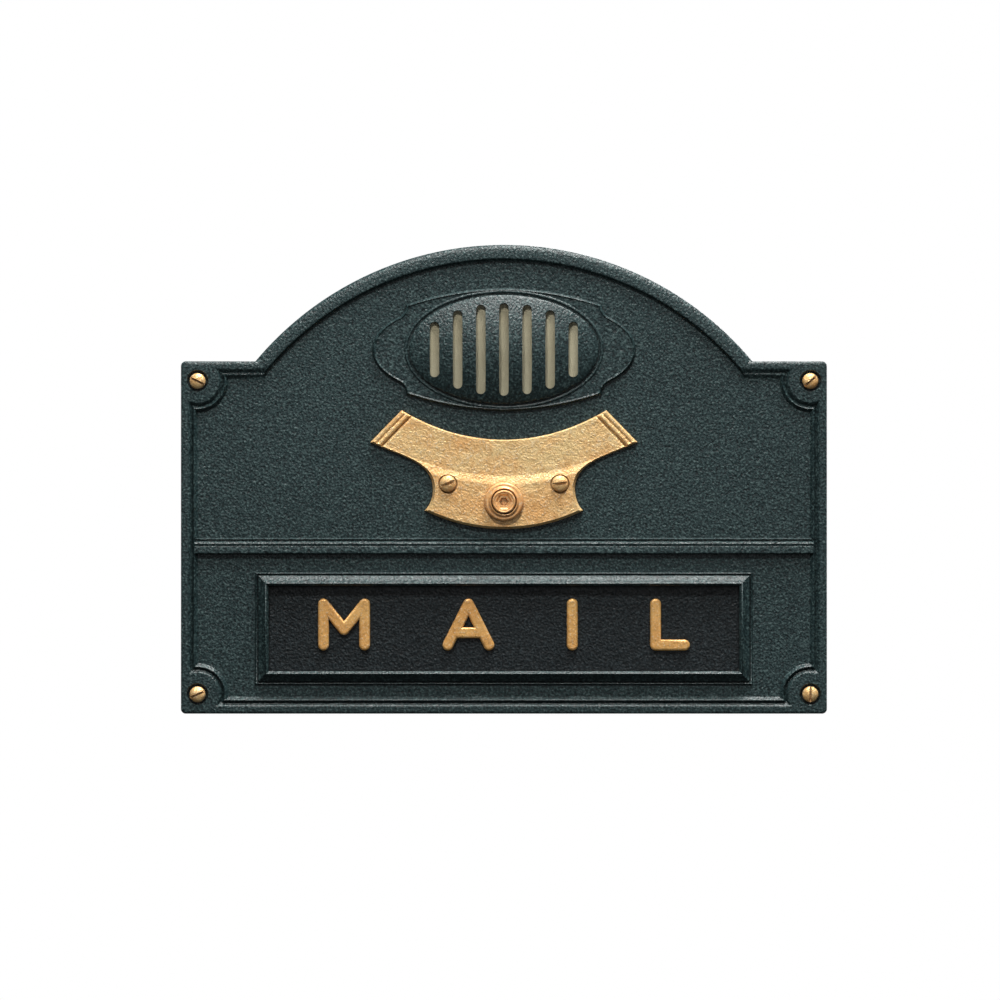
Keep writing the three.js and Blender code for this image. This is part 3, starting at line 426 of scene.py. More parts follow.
def cast_brass(name, pale, deep, tarnish, grain_depth):
    """Satin brass: sandy grain, two tones in slow patches, brown and pale speckle, and hollows darkened
    brown, partly patina and partly painted shade.
    """
    roughness = 0.34
    look = Look(name, roughness=roughness, metallic=0.32, Specular_IOR_Level=0.7)
    grain = look.noise(900, 3.0, 0.65)
    patch = look.limits(look.noise(55, 4.0, 0.6), 0.38, 0.66)
    tone = look.mix(patch, pale, deep)
    tone = look.mix(look.limits(look.noise(520, 3.0, 0.7), 0.48, 0.68, 0.0, 0.5), tone, tarnish)
    tone = look.mix(look.limits(grain, 0.54, 0.7, 0.0, 0.7), tone, (255, 240, 208))
    # Painted shade with a patina tint: hollows, seams and the rings around the screws and the rosette are
    # darkened towards dark brown.
    look.set("Base Color", look.mix(look.painted_shade_mask(1.6, 0.85), tone, (96, 52, 24)))
    look.set("Roughness", look.limits(look.noise(300), 0.3, 0.7, roughness - 0.08, roughness + 0.12))
    look.bumps((grain, grain_depth), (look.noise(260, 3.0), grain_depth))
    return look.material


def zinc_sheet():
    """Galvanised sheet with a fine, low-contrast spangle and a faint rolling grain."""
    look = Look("galvanised_steel", roughness=0.45, metallic=0.7)
    spangle = look.cells(190)["Color"]
    grey = look.add("ShaderNodeRGBToBW", {0: spangle}).outputs[0]
    tone = look.mix(look.limits(grey, 0.15, 0.85), (141, 145, 148), (155, 159, 161))
    dull = look.limits(look.noise(14, 5.0), 0.5, 0.75, 0.0, 0.5)
    look.set("Base Color", look.mix(dull, tone, (122, 125, 128)))
    look.set("Roughness", look.limits(grey, 0.0, 1.0, 0.4, 0.5))
    look.bumps((look.noise(900, 2.0, 0.5, (1, 0.05, 1)), 0.01), (look.noise(30), 0.15))
    return look.material


def bright_steel():
    """Plated steel with fine drawn lines and duller, handled patches."""
    look = Look("bright_steel", roughness=0.3, metallic=1.0)
    brushed = look.noise(2600, 2.0, 0.5, (1, 0.06, 1))
    handled = look.limits(look.noise(160, 4.0), 0.45, 0.7)
    look.set("Base Color", look.mix(handled, (190, 192, 194), (150, 150, 148)))
    look.set("Roughness", look.limits(brushed, 0.3, 0.7, 0.22, 0.4))
    look.bumps((brushed, 0.015))
    return look.material


def powder_coat():
    """Light grey powder coat with its orange-peel skin and a few drawn-out scuffs."""
    look = Look("door_paint", roughness=0.45, Specular_IOR_Level=0.5)
    tone = look.mix(look.limits(look.noise(7, 4.0), 0.35, 0.65), (138, 143, 145), (150, 155, 156))
    scuff = look.limits(look.noise(60, 5.0, 0.7, (0.15, 1, 1)), 0.66, 0.74, 0.0, 0.35)
    look.set("Base Color", look.mix(scuff, tone, (110, 114, 116)))
    look.set("Roughness", look.limits(look.noise(500), 0.3, 0.7, 0.38, 0.5))
    look.bumps((look.noise(700, 1.0), 0.05), (look.noise(1800, 1.0), 0.015))
    return look.material


def moulded(name, tone, other, roughness=0.5, depth=0.03):
    """Moulded plastic or rubber with a fine grain and a slight waviness."""
    look = Look(name, roughness=roughness)
    look.set("Base Color", look.mix(look.limits(look.noise(40, 4.0), 0.4, 0.65), tone, other))
    look.set("Roughness", look.limits(look.noise(900), 0.35, 0.65, roughness - 0.08, roughness + 0.1))
    look.bumps((look.noise(1600, 2.0), depth), (look.noise(35), depth))
    return look.material


def porous(name, tone, other, scale):
    """Foam or pressed paper: open pits on a dull skin."""
    look = Look(name, roughness=0.85, Specular_IOR_Level=0.25)
    pits = look.cells(scale)["Distance"]
    look.set("Base Color", look.mix(look.limits(pits, 0.1, 0.6), tone, other))
    look.set("Roughness", look.limits(look.noise(200), 0.3, 0.7, 0.78, 0.95))
    look.bumps((pits, 0.25), (look.noise(800), 0.05))
    return look.material


def woven_cloth():
    """Beige speaker cloth: two crossing sets of threads under a slow stain."""
    look = Look("grille_cloth", roughness=0.9, Specular_IOR_Level=0.2, Sheen_Weight=0.3)
    pitch = 0.55 * MM
    per_metre = 2 * math.pi / pitch
    across = look.math("SINE", look.math("MULTIPLY", look.axis("X"), per_metre))
    upright = look.math("SINE", look.math("MULTIPLY", look.axis("Z"), per_metre))
    weave = look.math("MULTIPLY", across, upright)
    tone = look.mix(look.limits(look.noise(60, 4.0), 0.35, 0.65), (216, 209, 178), (192, 183, 150))
    fibre = look.limits(look.noise(2400, 2.0), 0.3, 0.7, 0.0, 0.3)
    tone = look.mix(fibre, tone, (226, 219, 192))
    look.set("Base Color", look.mix(look.limits(weave, -1.0, 0.4, 0.45, 0.0), tone, (92, 86, 66)))
    look.bumps((weave, 0.12), (look.noise(2400), 0.04))
    return look.material


def circuit_board():
    """Green laminate with a grid of paler tracks."""
    look = Look("circuit_board", roughness=0.35)
    tracks = look.add("ShaderNodeTexBrick", {"Vector": look.place, "Scale": 420.0, "Mortar Size": 0.12})
    look.set("Base Color", look.mix(tracks.outputs["Fac"], (24, 84, 48), (38, 110, 66)))
    look.bumps((tracks.outputs["Fac"], 0.03))
    return look.material


LOOKS = {
    "plate_paint": casting_paint("plate_paint", (34, 51, 53), (40, 58, 60), (96, 118, 117)),
    "flap_paint": casting_paint("flap_paint", (22, 29, 32), (27, 34, 37), (62, 72, 76)),
    "brass": cast_brass("brass", (255, 220, 156), (250, 192, 122), (196, 136, 72), 0.4),
    "bell_brass": cast_brass("bell_brass", (255, 204, 138), (248, 180, 112), (204, 134, 78), 0.05),
    "letter_brass": cast_brass("letter_brass", (255, 200, 120), (240, 176, 98), (188, 130, 66), 0.24),
    "grille_cloth": woven_cloth(),
    "speaker_paper": porous("speaker_paper", (34, 32, 31), (44, 42, 40), 1400),
    "galvanised_steel": zinc_sheet(),
    "bright_steel": bright_steel(),
    "door_paint": powder_coat(),
    "black_plastic": moulded("black_plastic", (26, 28, 30), (34, 36, 38)),
    "rubber": moulded("rubber", (22, 22, 22), (30, 30, 29), 0.75, 0.02),
    "foam": porous("foam", (40, 41, 42), (24, 25, 25), 1100),
    "nylon": moulded("nylon", (206, 203, 190), (192, 189, 174), 0.45, 0.02),
    "circuit_board": circuit_board(),
}


# ---------------------------------------------------------------- front plate

CORNER_STEPS = 24
ARCH_STEPS = 140
OVAL_STEPS = 128


def arch_points(z_edge, by):
    """The arch moved inwards, from where it leaves a height on the right to the left."""
    radius = ARCH_RADIUS - by
    start = math.degrees(math.asin((z_edge - ARCH_Z) / radius))
    return arc(0, ARCH_Z, radius, start, 180 - start, ARCH_STEPS)


def edge_ring(side, top):
    """The plate's outline moved inwards by one amount on the straight edges and another on the arch."""
    radius = max(CORNER - side, 0.4)
    x = HALF - side - radius
    low = side + radius
    edge = SHOULDER_Z - side
    return (
        arc(-x, low, radius, 180, 270, CORNER_STEPS)
        + arc(x, low, radius, 270, 360, CORNER_STEPS)
        + arc(x, edge - radius, radius, 0, 90, CORNER_STEPS)
        + arch_points(edge, top)
        + arc(-x, edge - radius, radius, 90, 180, CORNER_STEPS)
    )


def lobe_ring(grow, top):
    """The inner edge of the border, which sweeps around the corner screws."""
    by = BAND + grow
    radius = LOBE + grow
    edge = SHOULDER_Z - by
    side = math.degrees(math.acos((SCREW_X - HALF + by) / radius))
    foot = math.degrees(math.asin((by - SCREW_LOW) / radius))
    head = math.degrees(math.asin((edge - SCREW_HIGH) / radius))
    return (
        arc(-SCREW_X, SCREW_LOW, radius, side, foot, CORNER_STEPS)
        + arc(SCREW_X, SCREW_LOW, radius, 180 - foot, 180 - side, CORNER_STEPS)
        + arc(SCREW_X, SCREW_HIGH, radius, 180 + side, 180 - head, CORNER_STEPS)
        + arch_points(edge, top)
        + arc(-SCREW_X, SCREW_HIGH, radius, head, -side, CORNER_STEPS)
    )


def plate_ring(outline, rise, top_rise):
    """Puts a plate ring at its height, which differs on the arch."""
    first = 3 * CORNER_STEPS
    on_arch = range(first, first + ARCH_STEPS)
    return [(x, FIELD - (top_rise if i in on_arch else rise), z) for i, (x, z) in enumerate(outline)]


def plate_body():
    """The plate with its rounded rim, flat band, groove and bead.

    A row holds a move inwards and a rise above the field on the straight edges, then both on the arch.
    """
    rim = [
        (0, 0.9, 0, 0.0), (0.15, 1.45, 0.3, 0.75), (0.5, 1.85, 0.9, 1.3), (1.0, 2.0, 1.8, 1.75),
        (1.8, 2.02, 2.9, 2.0), (3.0, 2.0, 4.2, 2.1),
    ]
    bead = [
        (-1.4, 2.0, 5.6, 2.2), (-0.9, 1.85, 6.6, 2.2), (-0.3, 1.2, 7.0, 2.1), (0.2, 0.7, 7.25, 1.9),
        (0.7, 0.5, 7.4, 1.5), (1.1, 0.8, 7.5, 1.1), (1.5, 1.6, 7.6, 0.7), (1.9, 1.85, 7.75, 0.35),
        (2.2, 1.75, 8.1, 0.12), (2.7, 1.1, 8.4, 0.02), (3.2, 0.4, 8.8, 0.0), (3.6, 0.05, 9.3, 0.0),
        (4.1, 0.0, 9.8, 0.0),
    ]
    back = lift(edge_ring(0, 0), BACK)
    rings = [back] + [plate_ring(edge_ring(side, top), rise, high) for side, rise, top, high in rim]
    rings += [plate_ring(lobe_ring(grow, top), rise, high) for grow, rise, top, high in bead]
    return loft("plate_body", rings)


def moulding():
    """The level band across the plate: a thin bead over a stepped strip with a sharp lower edge."""
    foot = SLOT_TOP + 16.4
    clear = 2
    rows = [
        (0.0, -1.0), (0.0, 1.9), (0.35, 2.5), (0.9, 2.6), (3.4, 2.5), (3.9, 2.25), (4.4, 2.35), (5.2, 2.6),
        (5.8, 2.3), (6.3, 1.2), (6.7, 0.8), (7.0, 0.9), (7.35, 1.4), (7.7, 1.35), (8.1, 0.5), (8.3, -1.0),
    ]
    x = HALF - BAND - clear
    ends = [[(side, FIELD - rise, foot + up) for up, rise in rows] for side in (-x, x)]
    return loft("moulding", ends)


def rectangle_ring(by, y):
    x = SLOT_HALF + by
    low, high = SLOT_FOOT - by, SLOT_TOP + by
    return [(-x, y, low), (x, y, low), (x, y, high), (-x, y, high)]


def slot_frame():
    """A mitred frame that slopes up to a crest around the slot, as rows of growth and rise."""
    crest = FIELD - FRONT - 0.15
    rows = [
        (7.0, -2.0), (7.0, 0.0), (6.7, 0.75), (6.35, 1.0), (6.0, 0.85), (5.75, 0.35), (5.5, 0.3), (5.2, 0.9),
        (5.0, 1.25), (4.2, 1.65), (3.4, 2.25), (2.6, 3.1), (1.9, crest - 0.55), (1.5, crest - 0.12),
        (1.15, crest), (0.8, crest - 0.2), (0.0, crest - 1.3), (0.0, -2.0),
    ]
    return loft("slot_frame", [rectangle_ring(by, FIELD - rise) for by, rise in rows], looped=True)


def cartouche_outline():
    """The shield behind the grille, from its foot up the right side and mirrored."""
    foot, corner, ear, tip = (0, -31.6), (50, -23), (53, -17.2), (67.4, 0)
    low = bezier([foot, (26, -31.2), corner], 20)
    low += bezier([corner, (50.2, -19.2), ear], 5)
    low += bezier([ear, (60, -13.8), (tip[0], -8.5), tip], 16)
    high = [(x, -z) for x, z in reversed(low)]
    return mirrored(low + [tip] + high)


def cartouche():
    outline = shifted(cartouche_outline(), 0, GRILLE_Z)
    profile = [
        (0, FIELD), (0.2, FIELD - 0.6), (0.8, SHIELD - 0.25), (1.1, SHIELD - 0.45), (1.4, SHIELD - 0.3),
        (1.8, SHIELD),
    ]
    return relief("cartouche", outline, FIELD + 2, profile)


def grille_bead():
    """The low ring that the dome sits in, as rows of growth and place from the shield's face."""
    high = span("speaker_grille")[1]
    half_x, half_z = high[0], high[2] - GRILLE_Z
    rows = [(0.2, 1.0), (0.2, -0.1), (0.6, -0.5), (1.1, -0.65), (1.6, -0.5), (2.0, 0.0), (2.0, 1.0)]
    rings = [lift(ellipse(half_x + by, half_z + by, 0, GRILLE_Z, OVAL_STEPS), SHIELD + y) for by, y in rows]
    return loft("grille_bead", rings, looped=True)


def front_plate():
    """The casting with its relief, the flap's pocket behind the slot, the speaker's mouth and the bores."""
    under_frame, pocket_room, pin_room, frame_depth, ahead, behind = 1, 3.8, 3.6, 5, 6, 2
    wide, low, high = SLOT_HALF + under_frame, SLOT_FOOT - under_frame, SLOT_TOP + under_frame
    casting = cut(plate_body(), block("aperture", (-wide, wide), (FIELD - ahead, behind), (low, high)))
    casting = join(casting, slot_frame(), moulding(), cartouche(), grille_bead())
    wide, low, high = SLOT_HALF + pocket_room, SLOT_FOOT - pocket_room, PIN_Z + pin_room
    pocket = block("pocket", (-wide, wide), (FRONT + frame_depth, behind), (low, high))
    holes = [pocket, bore(BELL_BORE, 0, BELL_Z, 64)]
    mouth_in, mouth_under = 9.4, 5
    grille_high = span("speaker_grille")[1]
    mouth = ellipse(grille_high[0] - mouth_in, grille_high[2] - GRILLE_Z - mouth_under, 0, GRILLE_Z)
    holes.append(loft("mouth", [lift(mouth, PAST_FRONT), lift(mouth, PAST_BACK)]))
    pad, corner_bore, name_bore = FIELD - 2, 2.55, 2.3
    countersink = [(6.4, pad - 1), (5.7, pad + 0.02), (5.3, pad + 0.4), (5.2, pad + 2.0)]
    for x in (-SCREW_X, SCREW_X):
        for z in (SCREW_LOW, SCREW_HIGH):
            holes.append(turned("countersink", countersink, x, z, 48))
            holes.append(bore(corner_bore, x, z))
    x, _, z = middle("name_plate_screw_right")
    holes += [bore(name_bore, side * x, z) for side in (-1, 1)]
    piece(cut(casting, *holes), "plate_casting", "plate_paint", ["front_plate"])


# ---------------------------------------------------------------- grille and cloth


def dome_rings(half_x, half_z, base, height, rim, rows):
    """Oval rings up a short rim and over an evenly curved dome."""
    lip = 0.992
    steps = [(1.0, 0.0), (1.0, rim * 0.6), (lip, rim)]
    for i in range(1, rows):
        share = lip * (1 - i / rows)
        steps.append((share, rim + (height - rim) * (1 - share**2)))
    return [lift(ellipse(half_x * r, half_z * r, 0, GRILLE_Z, OVAL_STEPS), base - up) for r, up in steps]


def hollow_cutter(rings, past):
    """A dome's inside, drawn out past its open back."""
    return loft("hollow", [[(x, y + past, z) for x, y, z in rings[0]]] + rings)


def stadium(x, reach, half_width, steps=12):
    """An upright slot's outline, whose end circles lie a reach above and below the grille's middle."""
    top = arc(x, GRILLE_Z + reach, half_width, 0, 180, steps)
    return arc(x, GRILLE_Z - reach, half_width, 180, 360, steps) + top


def speaker_grille():
    """A thin dome with a row of upright slots that end along an inner oval."""
    low, high = span("speaker_grille")
    gap, wall, slots, pitch, margin = 0.6, 2.2, 7, 11.8, 4.8
    half_x, half_z = high[0] - gap, high[2] - GRILLE_Z - gap
    height = SHIELD - low[1]
    outer = dome_rings(half_x, half_z, SHIELD, height, 1.3, 26)
    inner = dome_rings(half_x - wall, half_z - wall, SHIELD, height - wall, 0.9, 20)
    cutters = [hollow_cutter(inner, 2)]
    slot_sides = [(2.5, low[1] - 1), (2.25, SHIELD + 2)]
    slot_end = 2.4
    for i in range(slots):
        x = (i - (slots - 1) / 2) * pitch
        reach = (high[2] - GRILLE_Z - margin) * math.sqrt(1 - (x / (high[0] - margin)) ** 2) - slot_end
        cutters.append(loft("slot", [lift(stadium(x, reach, half), y) for half, y in slot_sides]))
    dome = cut(loft("dome", outer), *cutters)
    bevelled(dome, 0.35, 50)
    piece(dome, "grille_dome", "plate_paint", ["speaker_grille"], angle=50)


def speaker_cloth():
    """A thin cloth skin, slightly domed, behind the grille's slots."""
    high = span("speaker_cloth")[1]
    thickness, rise, spread, gap = 0.6, 1.0, 4, 0.5
    half_x, half_z = high[0] + spread, high[2] - GRILLE_Z - gap
    outer = dome_rings(half_x, half_z, SHIELD, rise, 0.7, 16)
    inner = dome_rings(half_x - thickness, half_z - thickness, SHIELD, rise - thickness, 0.3, 16)
    cloth = cut(loft("cloth", outer), hollow_cutter(inner, 1))
    piece(cloth, "grille_cloth_skin", "grille_cloth", ["speaker_cloth"], angle=60)


# ---------------------------------------------------------------- brass

NAME_RISE = 3.0
NAME_HORN = (52.3, 46.7)
NAME_TIP = (68.3, 30.3)


def name_plate_outline():
    """The name plate about the bell, from its foot up the right side and mirrored."""
    foot, corner, waist, heel, crown = (0, -14.0), (40.5, -4.6), (36.3, 6.9), (61, 27.1), (0, 31.65)
    right = bezier([foot, (21, foot[1]), corner], 24)
    right += bezier([corner, (36.3, -0.5), waist], 12)
    right += bezier([waist, (36.8, 19), (50, 22.5), heel], 24)
    right += [heel, NAME_TIP]
    right += bezier([NAME_HORN, (27, crown[1]), crown], 30)
    return mirrored(right + [crown])


def name_plate_surface():
    """A slab whose front falls back above a soft crease and is grooved beside the slanted ends."""
    cell = 0.35
    xs = np.arange(-70, 70 + cell, cell)
    zs = np.arange(-25, 48 + cell, cell)
    x, z = np.meshgrid(xs, zs)
    fall, fall_width, crease = 0.95, 4.4, 11 + 0.0042 * x**2
    rise = NAME_RISE - fall * np.clip((z - crease) / fall_width + 0.5, 0, 1)
    run, climb = NAME_TIP[0] - NAME_HORN[0], NAME_HORN[1] - NAME_TIP[1]
    end = ((NAME_TIP[0] - np.abs(x)) * climb + (NAME_TIP[1] - z) * run) / math.hypot(run, climb)
    end_lift, end_width, end_slope = 0.35, 5.2, 0.8
    rise += end_lift * np.clip((end_width - end) / end_slope, 0, 1)
    for place, deep, wide in ((2.6, 0.6, 0.4), (5.6, 1.0, 0.5)):
        rise -= deep * np.exp(-(((end - place) / wide) ** 2))
    rows, columns = x.shape
    front = np.stack([x, FIELD - rise, z + BELL_Z], axis=-1).reshape(-1, 3)
    back = front.copy()
    back[:, 1] = FIELD + 3
    verts = np.concatenate([front, back]).tolist()
    index = np.arange(rows * columns).reshape(rows, columns)
    grid = np.stack([index[:-1, :-1], index[:-1, 1:], index[1:, 1:], index[1:, :-1]], axis=-1).reshape(-1, 4)
    border = np.concatenate([index[0, :], index[1:, -1], index[-1, -2::-1], index[-2:0:-1, 0]])
    after = np.roll(border, -1)
    wall = np.stack([border, border + rows * columns, after + rows * columns, after], axis=-1)
    faces = grid.tolist() + (grid[:, ::-1] + rows * columns).tolist() + wall.tolist()
    return shell("surface", verts, faces)


def name_plate():
    outline = shifted(name_plate_outline(), 0, BELL_Z)
    edge = [(0, 1.1), (0.15, 1.4), (0.75, 2.15), (0.95, 2.5), (1.25, NAME_RISE + 0.02)]
    body = relief("name_plate_body", outline, FIELD, [(by, FIELD - rise) for by, rise in edge])
    body = combine(body, [name_plate_surface()], "INTERSECT")
    holes = [bore(BELL_BORE, 0, BELL_Z, 64, end=0)]
    face, shank = FIELD - NAME_RISE, 2.3
    countersink = [(5.1, PAST_FRONT), (5.0, face), (4.5, face + 0.7), (shank, face + 0.8), (shank, 0)]
    for side in ("left", "right"):
        x, _, z = middle(f"name_plate_screw_{side}")
        holes.append(turned("countersink", countersink, x, z, 48))
    piece(cut(body, *holes), "name_plate_casting", "brass", ["name_plate"], angle=40)


def screw(node, look, head, height, turn, groove=1.1, backward=False):
    """A domed slotted head with a threaded shank, in a CAD screw's place."""
    low, high = span(node)
    x, _, z = middle(node)
    sign = -1 if backward else 1
    front, end = (high[1], low[1]) if backward else (low[1], high[1])
    under = front + sign * height
    shank = head * 0.45
    root = shank * 0.82
    dome = sign * height * 0.68
    rows = [(head * math.sin(t), front + dome * (1 - math.cos(t))) for t in np.linspace(0.06, 1.5, 12)]
    rows += [(head, under - sign * 0.05 * height), (head * 0.96, under), (shank, under)]
    pitch = max(0.5, shank * 0.45)
    turns = int(abs(end - under) / pitch) - 1
    for i in range(turns):
        y = under + sign * pitch * (i + 0.6)
        rows += [(shank, y), (root, y + sign * pitch * 0.5)]
    rows.append((shank * 0.5, end))
    body = turned(node, rows, x, z, 40)
    deep = sorted((front - sign, front + sign * height * 0.55))
    cutter = block("groove", (-head * 1.2, head * 1.2), deep, (-groove / 2, groove / 2))
    for vertex in cutter.data.vertices:
        px, pz = vertex.co.x, vertex.co.z
        vertex.co.x = px * math.cos(turn) - pz * math.sin(turn) + x * MM
        vertex.co.z = px * math.sin(turn) + pz * math.cos(turn) + z * MM
    body = cut(body, cutter)
    bevelled(body, 0.12, 55)
    return piece(body, node + "_fine", look, [node], body_of(node), angle=40)


def body_of(node):
    for name, nodes in frame["record"]["behaviour"]["bodies"].items():
        if node in nodes:
            return name
    raise KeyError(node)


def bell_rosette():
    """The stepped ring that the button slides in, on the name plate's face."""
    high = span("bell_rosette")[1]
    ring, seat = high[0], FIELD - NAME_RISE
    rows = [
        (6.3, seat + 1.2), (6.3, seat - 2.7), (6.5, seat - 3.2), (6.9, seat - 3.4), (7.35, seat - 3.2),
        (7.6, seat - 2.75), (7.9, seat - 2.5), (8.4, seat - 2.5), (8.9, seat - 2.6), (9.4, seat - 2.35),
        (9.75, seat - 1.8), (ring, seat - 1.2), (ring, seat - 0.05), (8.2, seat), (8.2, high[1]),
        (7.0, high[1]), (7.0, seat + 1.2),
    ]
    rosette = turned("rosette", rows, 0, BELL_Z, 96, looped=True)
    piece(rosette, "bell_rosette_turned", "bell_brass", ["bell_rosette"], angle=50)


def bell_button():
    """A domed cap with a six-sided hollow and a dimple at its bottom."""
    low, high = span("bell_button")
    front, end, collar = low[1], high[1], FIELD - 1.5
    rows = [
        (0.01, front + 1.6), (4.7, front + 1.6), (4.75, front + 0.35), (4.95, front + 0.1), (5.25, front),
        (5.55, front + 0.1), (5.8, front + 0.4), (5.95, front + 0.9), (6.0, front + 1.5), (6.0, collar),
        (6.7, collar), (6.7, FIELD), (2.0, FIELD), (2.0, end - 0.3), (1.7, end),
    ]
    plug = turned("plug", [(4.74, front + 1.7), (4.74, front + 0.5)], 0, BELL_Z, 72)
    cap = join(turned("cap", rows, 0, BELL_Z, 72), plug)
    hollow = turned("hollow", [(5.2, front - 0.1), (3.4, front + 1.5)], 0, BELL_Z, 6)
    dimple = turned("dimple", [(2.5, front + 1.2), (1.9, front + 3.4)], 0, BELL_Z, 6)
    cap = cut(cap, hollow, dimple)
    bevelled(cap, 0.1, 35)
    piece(cap, "bell_button_turned", "bell_brass", ["bell_button"], "bell", angle=24)


def bell_coil():
    """The return spring, with the share of its length left when pressed and the end that stays."""
    low, high = span("bell_spring")
    length = high[1] - low[1]
    wire, coil, turns, travel, closer = 0.4, 4.2, 6, 2.0, 0.035
    path = []
    for i in range(turns * TURN_STEPS + 1):
        angle = 2 * math.pi * i / TURN_STEPS
        share = i / (turns * TURN_STEPS)
        eased = min(max(share - closer * math.sin(2 * math.pi * share), 0), 1)
        y = low[1] + wire + (length - 2 * wire) * eased
        path.append((coil * math.cos(angle), y, BELL_Z + coil * math.sin(angle)))
    spring = tube("spring", path, wire, 8)
    piece(spring, "bell_spring_coil", "bright_steel", ["bell_spring"], angle=60)
    return spring, 1 - travel / length, (0, high[1] * MM, BELL_Z * MM)


# ---------------------------------------------------------------- flap and letters


def stroke_outline(start, end, width, steps=16):
    """A straight stroke with round ends."""
    along = math.degrees(math.atan2(end[1] - start[1], end[0] - start[0]))
    round_start = arc(*start, width / 2, along + 90, along + 270, steps)
    return round_start + arc(*end, width / 2, along - 90, along + 90, steps)


STROKE = 5.6
STROKES = {
    "M": [((-1, -1), (-1, 1)), ((-1, 1), (0, -0.25)), ((0, -0.25), (1, 1)), ((1, 1), (1, -1))],
    "A": [((-1, -1), (0, 1)), ((0, 1), (1, -1)), ((-0.62, -0.4), (0.62, -0.4))],
    "I": [((0, -1), (0, 1))],
    "L": [((-1, 1), (-1, -1)), ((-1, -1), (1, -1))],
}


def letters():
    """Raised round-ended strokes with softened edges, placed in the CAD letters' boxes."""
    edge = [(0, 1.0), (0.15, 0.55), (0.45, 0.22), (0.95, 0.04), (1.5, 0)]
    for name, strokes in STROKES.items():
        low, high = span(f"letter_{name}")
        x, _, z = middle(f"letter_{name}")
        half_x = (high[0] - low[0] - STROKE) / 2
        half_z = (high[2] - low[2] - STROKE) / 2
        front, back = low[1], high[1]
        bars = []
        for stroke in strokes:
            ends = [(x + px * half_x, z + pz * half_z) for px, pz in stroke]
            outline = stroke_outline(*ends, STROKE)
            bars.append(relief("bar", outline, back, [(by, front + down) for by, down in edge]))
        letter = join(bars[0], *bars[1:]) if len(bars) > 1 else bars[0]
        piece(letter, f"letter_{name}_cast", "letter_brass", [f"letter_{name}"], "flap", angle=32)


def flap_springs():
    """Torsion coils whose upper leg stays with the plate and whose lower leg ends at the flap's back."""
    wire, coil, turns, length, leg, flap_back, gap = 0.4, 2.6, 5.5, 11, 12, -4.2, 0.3
    count = int(turns * TURN_STEPS)
    for side in ("left", "right"):
        node = f"flap_spring_{side}"
        x = middle(node)[0]
        left, right = x - length / 2, x + length / 2
        rest = span(node)[0][1] + wire
        path = [(left, rest + (PIN_Y + coil - rest) * t, PIN_Z + leg * (1 - t)) for t in (0, 0.3, 0.6, 0.85)]
        for i in range(count + 1):
            angle = 2 * math.pi * i / TURN_STEPS
            along = left + length * i / count
            path.append((along, PIN_Y + coil * math.cos(angle), PIN_Z + coil * math.sin(angle)))
        end = path[-1]
        foot = (right, flap_back + wire + gap, PIN_Z - leg)
        path += [tuple(a + (b - a) * t for a, b in zip(end, foot)) for t in (0.2, 0.5, 0.8, 1.0)]
        spring = tube("spring", path, wire, 8)
        piece(spring, f"flap_spring_coil_{side}", "bright_steel", [node], None, angle=60)
        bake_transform(spring)


# ---------------------------------------------------------------- behind the plate


def wall_plugs():
    """Nylon plugs with saw-tooth ribs and a split end."""
    ribs, collar, tail, split_start, split_reach, half_split = 8, 4, 4, 12, 6, 0.5
    for level in ("lower", "upper"):
        for side in ("left", "right"):
            node = f"wall_plug_{level}_{side}"
            low, high = span(node)
            x, _, z = middle(node)
            start, end = low[1], high[1]
            rows = [(2.6, start), (4.7, start), (5.0, start + 0.3), (5.0, start + 0.9), (3.9, start + 1.2)]
            step = (end - start - collar - tail) / ribs
            for i in range(ribs):
                y = start + collar + i * step
                rows += [(3.4, y), (4.0, y + step * 0.75), (4.0, y + step * 0.9)]
            rows += [(3.4, end - 2.5), (2.7, end - 0.4), (2.3, end), (2.2, end - 3), (2.6, end - 4)]
            plug = turned(node, rows, x, z, 32, looped=True)
            across, upright = (x - split_reach, x + split_reach), (z - half_split, z + half_split)
            split = block("split", across, (start + split_start, end - tail), upright)
            piece(cut(plug, split), f"{node}_ribbed", "nylon", [node], angle=30)


def nuts():
    """Hexagon nuts, chamfered by a cone at each face and at the bore's mouths."""
    bores = {"name_plate_nut_left": 2.3, "name_plate_nut_right": 2.3, "bell_nut": BELL_BORE, "lock_nut": 8.3}
    for node, hole in bores.items():
        low, high = span(node)
        x, _, z = middle(node)
        radius = high[0] - x
        front, back = low[1], high[1]
        body = turned("nut", [(radius, front), (radius, back)], x, z, 6)
        cone, wide = radius * 0.87, radius * 1.04
        rows = [(cone, front - 0.01), (wide, front + 0.6), (wide, back - 0.6), (cone, back + 0.01)]
        body = combine(body, [turned("chamfer", rows, x, z, 48)], "INTERSECT")
        mouth = hole + 0.5
        rows = [(mouth, front - 0.2), (hole, front + 0.4), (hole, back - 0.4), (mouth, back + 0.2)]
        body = cut(body, turned("hole", rows, x, z, 48))
        piece(body, f"{node}_cut", "bright_steel", [node], body_of(node), angle=25)


